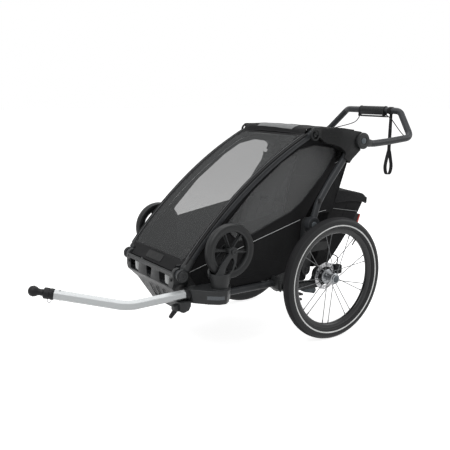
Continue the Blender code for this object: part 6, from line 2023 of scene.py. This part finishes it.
    def bracket(self, tag: str, side: int) -> None:
        """Side bracket with its pivot cap rings and the bare patch."""
        outer = 0.2330
        pivot = lathe([(side * (outer - 0.006), 0.0240), (side * (outer + 0.0004), 0.0232),
                       (side * (outer + 0.0016), 0.0215), (side * (outer + 0.0016), 0.0175),
                       (side * (outer + 0.0002), 0.0165), (side * (outer - 0.006), 0.0165)],
                      LAYOUT.top_pivot, 56)
        plate = slab([rounded([(-0.046, -0.0125, 0.005), (0.046, -0.0125, 0.005),
                               (0.046, 0.0125, 0.005), (-0.046, 0.0125, 0.005)], 5, True)], "YZ",
                     -0.0010, 0.0009, 0.0005)
        lean = math.atan2(0.0265, 0.080)
        turn = (Matrix.Translation((side * 0.2428, 0.0200, 0.8245))
                @ Matrix.Rotation(-side * lean, 4, "Z")
                @ Matrix.Rotation(math.radians(-2.0), 4, "X"))
        bmesh.ops.transform(plate, verts=plate.verts, matrix=turn)
        extras = [tinted(pivot, 0), tinted(bolt(side, outer, LAYOUT.top_pivot, 0.0085, 0.0012), 0),
                  tinted(plate, 1)]
        tail = Vector((0.0, -0.60, -0.80))
        # the side bracket wears the darker copy of the plastic, which paints shade on it
        refined("side_bracket_" + tag, PLASTIC_SIDE_SHADED, 0.0030, extras, [PATCH],
                trims=[((0.0, 0.0960, 0.7160), tail)])


@dataclass
class Suspension:
    """Trailing arm, caliper, adjuster and brake line on one side."""

    tag: str
    side: int

    def build(self) -> None:
        """Dress the arm's pieces and make the brake line."""
        tag, side = self.tag, self.side
        spring = self.damper()
        refined("suspension_arm_" + tag, PLASTIC, 0.0014,
                [bolt(side, 0.2350, (-0.190, 0.222), 0.0115, 0.0030), spring])
        refined("suspension_adjuster_" + tag, BUTTON, 0.0012)
        extras = [bolt(side, 0.2660, (0.058, 0.262), 0.0045, 0.0020),
                  bolt(side, 0.2660, (0.073, 0.277), 0.0045, 0.0020)]
        refined("brake_caliper_" + tag, PLASTIC_DEEP, 0.0010, extras)
        lead = [(0.208, 0.0270, 0.3470), (0.221, 0.048, 0.332), (0.237, 0.072, 0.321),
                (0.243, 0.077, 0.307), (0.2425, 0.073, 0.2886)]
        row = flowing([(side * x, y, z) for x, y, z in lead], 10)
        finished("brake_line_%s_run" % tag, sweep(row, 0.0023, 12), [CABLE], "suspension_" + tag,
                 ["brake_line_" + tag])

    def damper(self) -> Mesh:
        """Ribbed cover on the arm's flank."""
        side = self.side
        parts = []
        for k in range(5):
            y = -0.150 + 0.018 * k
            low, high = sorted((side * 0.2345, side * 0.2368))
            parts.append(block((low, y, 0.2115), (high, y + 0.009, 0.2225), 0.0010, 1))
        return gathered(*parts)


# ----------------------------------------------------------------------- hitch
@dataclass
class Hitch:
    """Tow arm with its coupler and latch."""

    radius: float = 0.0172

    def build(self) -> None:
        """Make the arm and its coupler, and dress the latch."""
        route = rounded([(0.213, -0.632, 0.271, 0.0), (0.221, -0.872, 0.268, 0.11),
                         (0.088, -1.082, 0.3115, 0.0)], 30)
        arm = self.hexagon(route)
        hole = route[-1] - (route[-1] - route[-2]).normalized() * 0.020
        pin = bar(hole + Vector((0.0, 0.0, self.radius + 0.0006)),
                  hole - Vector((0.0, 0.0, self.radius + 0.0006)), 0.0045, soft=0.0008)
        finished("hitch_arm_bar", gathered(arm, tinted(pin, 1)), [ALLOY, HUB], "hitch_arm",
                 ["hitch_arm"])
        self.coupler(route)
        refined("receiver_latch", PLASTIC_DEEP, 0.0012)

    def hexagon(self, route: Sequence[Vector]) -> Mesh:
        """Six-sided bar with rounded corners along the arm's bends."""
        across = [(self.radius * 1.06 * math.cos(TAU * (k + 0.5) / 6),
                   self.radius * 1.06 * math.sin(TAU * (k + 0.5) / 6), 0.005) for k in range(6)]
        section = bpy.data.curves.new("section", "CURVE")
        section.dimensions = "2D"
        add_loop(section, [tuple(p) for p in rounded(across, 12, closed=True)], True)
        holder = bpy.data.objects.new("section", section)
        bpy.context.scene.collection.objects.link(holder)
        curve = bpy.data.curves.new("arm", "CURVE")
        curve.dimensions = "3D"
        curve.bevel_mode = "OBJECT"
        curve.bevel_object = holder
        curve.use_fill_caps = True
        add_loop(curve, route, False)
        bm = curve_mesh(curve)
        bpy.data.objects.remove(holder)
        bpy.data.curves.remove(section)
        return bm

    def coupler(self, route: Sequence[Vector]) -> None:
        """Flexible joint at the arm's end, with its ball and strap ring."""
        along = (route[-1] - route[-2]).normalized()
        turn = along.to_track_quat("X", "Z").to_matrix().to_4x4()
        start = route[-1] + along * 0.0003
        body = lathe([(0.0, 0.0), (0.0, 0.0188), (0.001, 0.0195), (0.012, 0.0195), (0.0135, 0.0180),
                      (0.0155, 0.0180), (0.0170, 0.0195), (0.0325, 0.0195), (0.0340, 0.0182),
                      (0.0380, 0.0120), (0.0480, 0.0110), (0.0540, 0.0125), (0.0600, 0.0165),
                      (0.0700, 0.0190), (0.0800, 0.0165), (0.0865, 0.0095), (0.0890, 0.0)],
                     (0.0, 0.0), 48)
        bmesh.ops.transform(body, verts=body.verts, matrix=Matrix.Translation(start) @ turn)
        eye = start + along * 0.018 - Vector((0.0, 0.0, 0.0195))
        ring = [eye + Vector((0.011 * math.sin(TAU * k / 24) * along.x * 0.6,
                              0.011 * math.sin(TAU * k / 24) * along.y * 0.6,
                              -0.004 - 0.0085 * math.cos(TAU * k / 24))) for k in range(24)]
        loop = sweep(ring, 0.0016, 10, cyclic=True)
        finished("coupler_joint", gathered(body, tinted(loop, 1)), [PLASTIC_DEEP, STEEL],
                 "hitch_coupler", ["hitch_coupler"])


# ---------------------------------------------------------------------- studio
@dataclass
class Studio:
    """Floor, lamps, backdrop and the photograph's camera."""

    azimuth: float = 55.771
    elevation: float = 11.449
    roll: float = 0.361
    lens: float = 53.18
    eye: tuple[float, float, float] = (2.195, -1.8187, 0.9915)
    floor_albedo: float = 0.52
    floor_glow: float = 0.85
    sky: float = 0.45

    def build(self) -> None:
        """Set up the scene round the trailer."""
        scene = bpy.context.scene
        scene.view_settings.view_transform = "Standard"
        self.camera(scene)
        self.world(scene)
        self.floor()
        self.lamp("key_lamp", (0.9, -2.4, 3.2), 2.2, 76.0)
        self.lamp("top_lamp", (-0.8, 0.5, 3.6), 3.0, 60.0)
        self.lamp("rim_lamp", (1.8, 2.6, 2.2), 1.8, 34.0)

    def camera(self, scene: bpy.types.Scene) -> None:
        """Stand the camera where the photograph was taken from."""
        az, el, roll = (math.radians(a) for a in (self.azimuth, self.elevation, self.roll))
        back = Vector((math.sin(az) * math.cos(el), -math.cos(az) * math.cos(el), math.sin(el)))
        right = Vector((math.cos(az), math.sin(az), 0.0))
        up = back.cross(right)
        right = right * math.cos(roll) + up * math.sin(roll)
        up = back.cross(right)
        data = bpy.data.cameras.new("camera")
        data.lens = self.lens
        data.sensor_width = 36.0
        data.sensor_fit = "HORIZONTAL"
        data.clip_start = 0.05
        camera = bpy.data.objects.new("camera", data)
        spot = at(*self.eye)
        camera.matrix_world = Matrix((
            (right.x, up.x, back.x, spot.x), (right.y, up.y, back.y, spot.y),
            (right.z, up.z, back.z, spot.z), (0.0, 0.0, 0.0, 1.0)))
        scene.collection.objects.link(camera)
        scene.camera = camera

    def world(self, scene: bpy.types.Scene) -> None:
        """White backdrop for what is seen, a plain soft sky for the light."""
        world = bpy.data.worlds.new("studio")
        world.use_nodes = True
        tree = world.node_tree
        sky = tree.nodes["Background"]
        sky.inputs["Color"].default_value = (1.0, 1.0, 1.0, 1.0)
        path = tree.nodes.new("ShaderNodeLightPath")
        seen = tree.nodes.new("ShaderNodeMath")
        seen.operation = "MAXIMUM"
        tree.links.new(path.outputs["Is Camera Ray"], seen.inputs[0])
        tree.links.new(path.outputs["Is Transmission Ray"], seen.inputs[1])
        mirror = tree.nodes.new("ShaderNodeMath")
        mirror.operation = "MAXIMUM"
        tree.links.new(seen.outputs[0], mirror.inputs[0])
        tree.links.new(path.outputs["Is Glossy Ray"], mirror.inputs[1])
        strength = tree.nodes.new("ShaderNodeMapRange")
        strength.inputs["To Min"].default_value = self.sky
        strength.inputs["To Max"].default_value = 1.0
        tree.links.new(mirror.outputs[0], strength.inputs["Value"])
        tree.links.new(strength.outputs["Result"], sky.inputs["Strength"])
        scene.world = world

    def floor(self) -> None:
        """Wide pale floor that runs out to white and keeps the shadow."""
        bm = bmesh.new()
        bmesh.ops.create_grid(bm, x_segments=1, y_segments=1, size=30.0)
        bmesh.ops.translate(bm, verts=bm.verts, vec=(0.0, 0.0, -0.0004))
        mesh = bpy.data.meshes.new("floor")
        bm.to_mesh(mesh)
        bm.free()
        material = bpy.data.materials.new("floor_white")
        material.use_nodes = True
        tree = material.node_tree
        shader = tree.nodes["Principled BSDF"]
        shader.inputs["Base Color"].default_value = (*[self.floor_albedo] * 3, 1.0)
        shader.inputs["Roughness"].default_value = 0.9
        shader.inputs["Specular IOR Level"].default_value = 0.1
        glow = tree.nodes.new("ShaderNodeEmission")
        glow.inputs["Color"].default_value = (1.0, 1.0, 1.0, 1.0)
        path = tree.nodes.new("ShaderNodeLightPath")
        seen = tree.nodes.new("ShaderNodeMath")
        seen.operation = "MAXIMUM"
        tree.links.new(path.outputs["Is Camera Ray"], seen.inputs[0])
        tree.links.new(path.outputs["Is Glossy Ray"], seen.inputs[1])
        every = tree.nodes.new("ShaderNodeMath")
        every.operation = "MAXIMUM"
        tree.links.new(seen.outputs[0], every.inputs[0])
        tree.links.new(path.outputs["Is Transmission Ray"], every.inputs[1])
        level = tree.nodes.new("ShaderNodeMath")
        level.operation = "MULTIPLY"
        level.inputs[1].default_value = self.floor_glow
        tree.links.new(every.outputs[0], level.inputs[0])
        tree.links.new(level.outputs[0], glow.inputs["Strength"])
        total = tree.nodes.new("ShaderNodeAddShader")
        tree.links.new(shader.outputs[0], total.inputs[0])
        tree.links.new(glow.outputs[0], total.inputs[1])
        tree.links.new(total.outputs[0], tree.nodes["Material Output"].inputs["Surface"])
        mesh.materials.append(material)
        floor = bpy.data.objects.new("floor", mesh)
        bpy.context.scene.collection.objects.link(floor)

    def lamp(self, name: str, spot: Point, size: float, power: float) -> None:
        """Large soft lamp that looks at the trailer."""
        data = bpy.data.lights.new(name, "AREA")
        data.shape = "SQUARE"
        data.size = size
        data.energy = power
        lamp = bpy.data.objects.new(name, data)
        lamp.location = at(*spot)
        aim = at(0.0, -0.1, 0.4) - lamp.location
        lamp.rotation_euler = aim.to_track_quat("-Z", "Y").to_euler()
        bpy.context.scene.collection.objects.link(lamp)


def main() -> None:
    """Build the studio and every sub-assembly in order."""
    logging.basicConfig(level=logging.INFO, format="%(name)s: %(message)s")
    Studio().build()
    Handle().build()
    FrameTubes().build()
    Chassis().build()
    Hitch().build()
    for tag, side in SIDES:
        MainWheel(tag, side).build()
        StowedWheel(tag, side).build()
        Suspension(tag, side).build()
        SidePanel(tag, side).build()
    FrontCover().build()
    Roof().build()
    CabBack().build()
    CargoBag().build()
    Seat().build()
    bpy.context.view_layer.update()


if __name__ == "__main__":
    main()
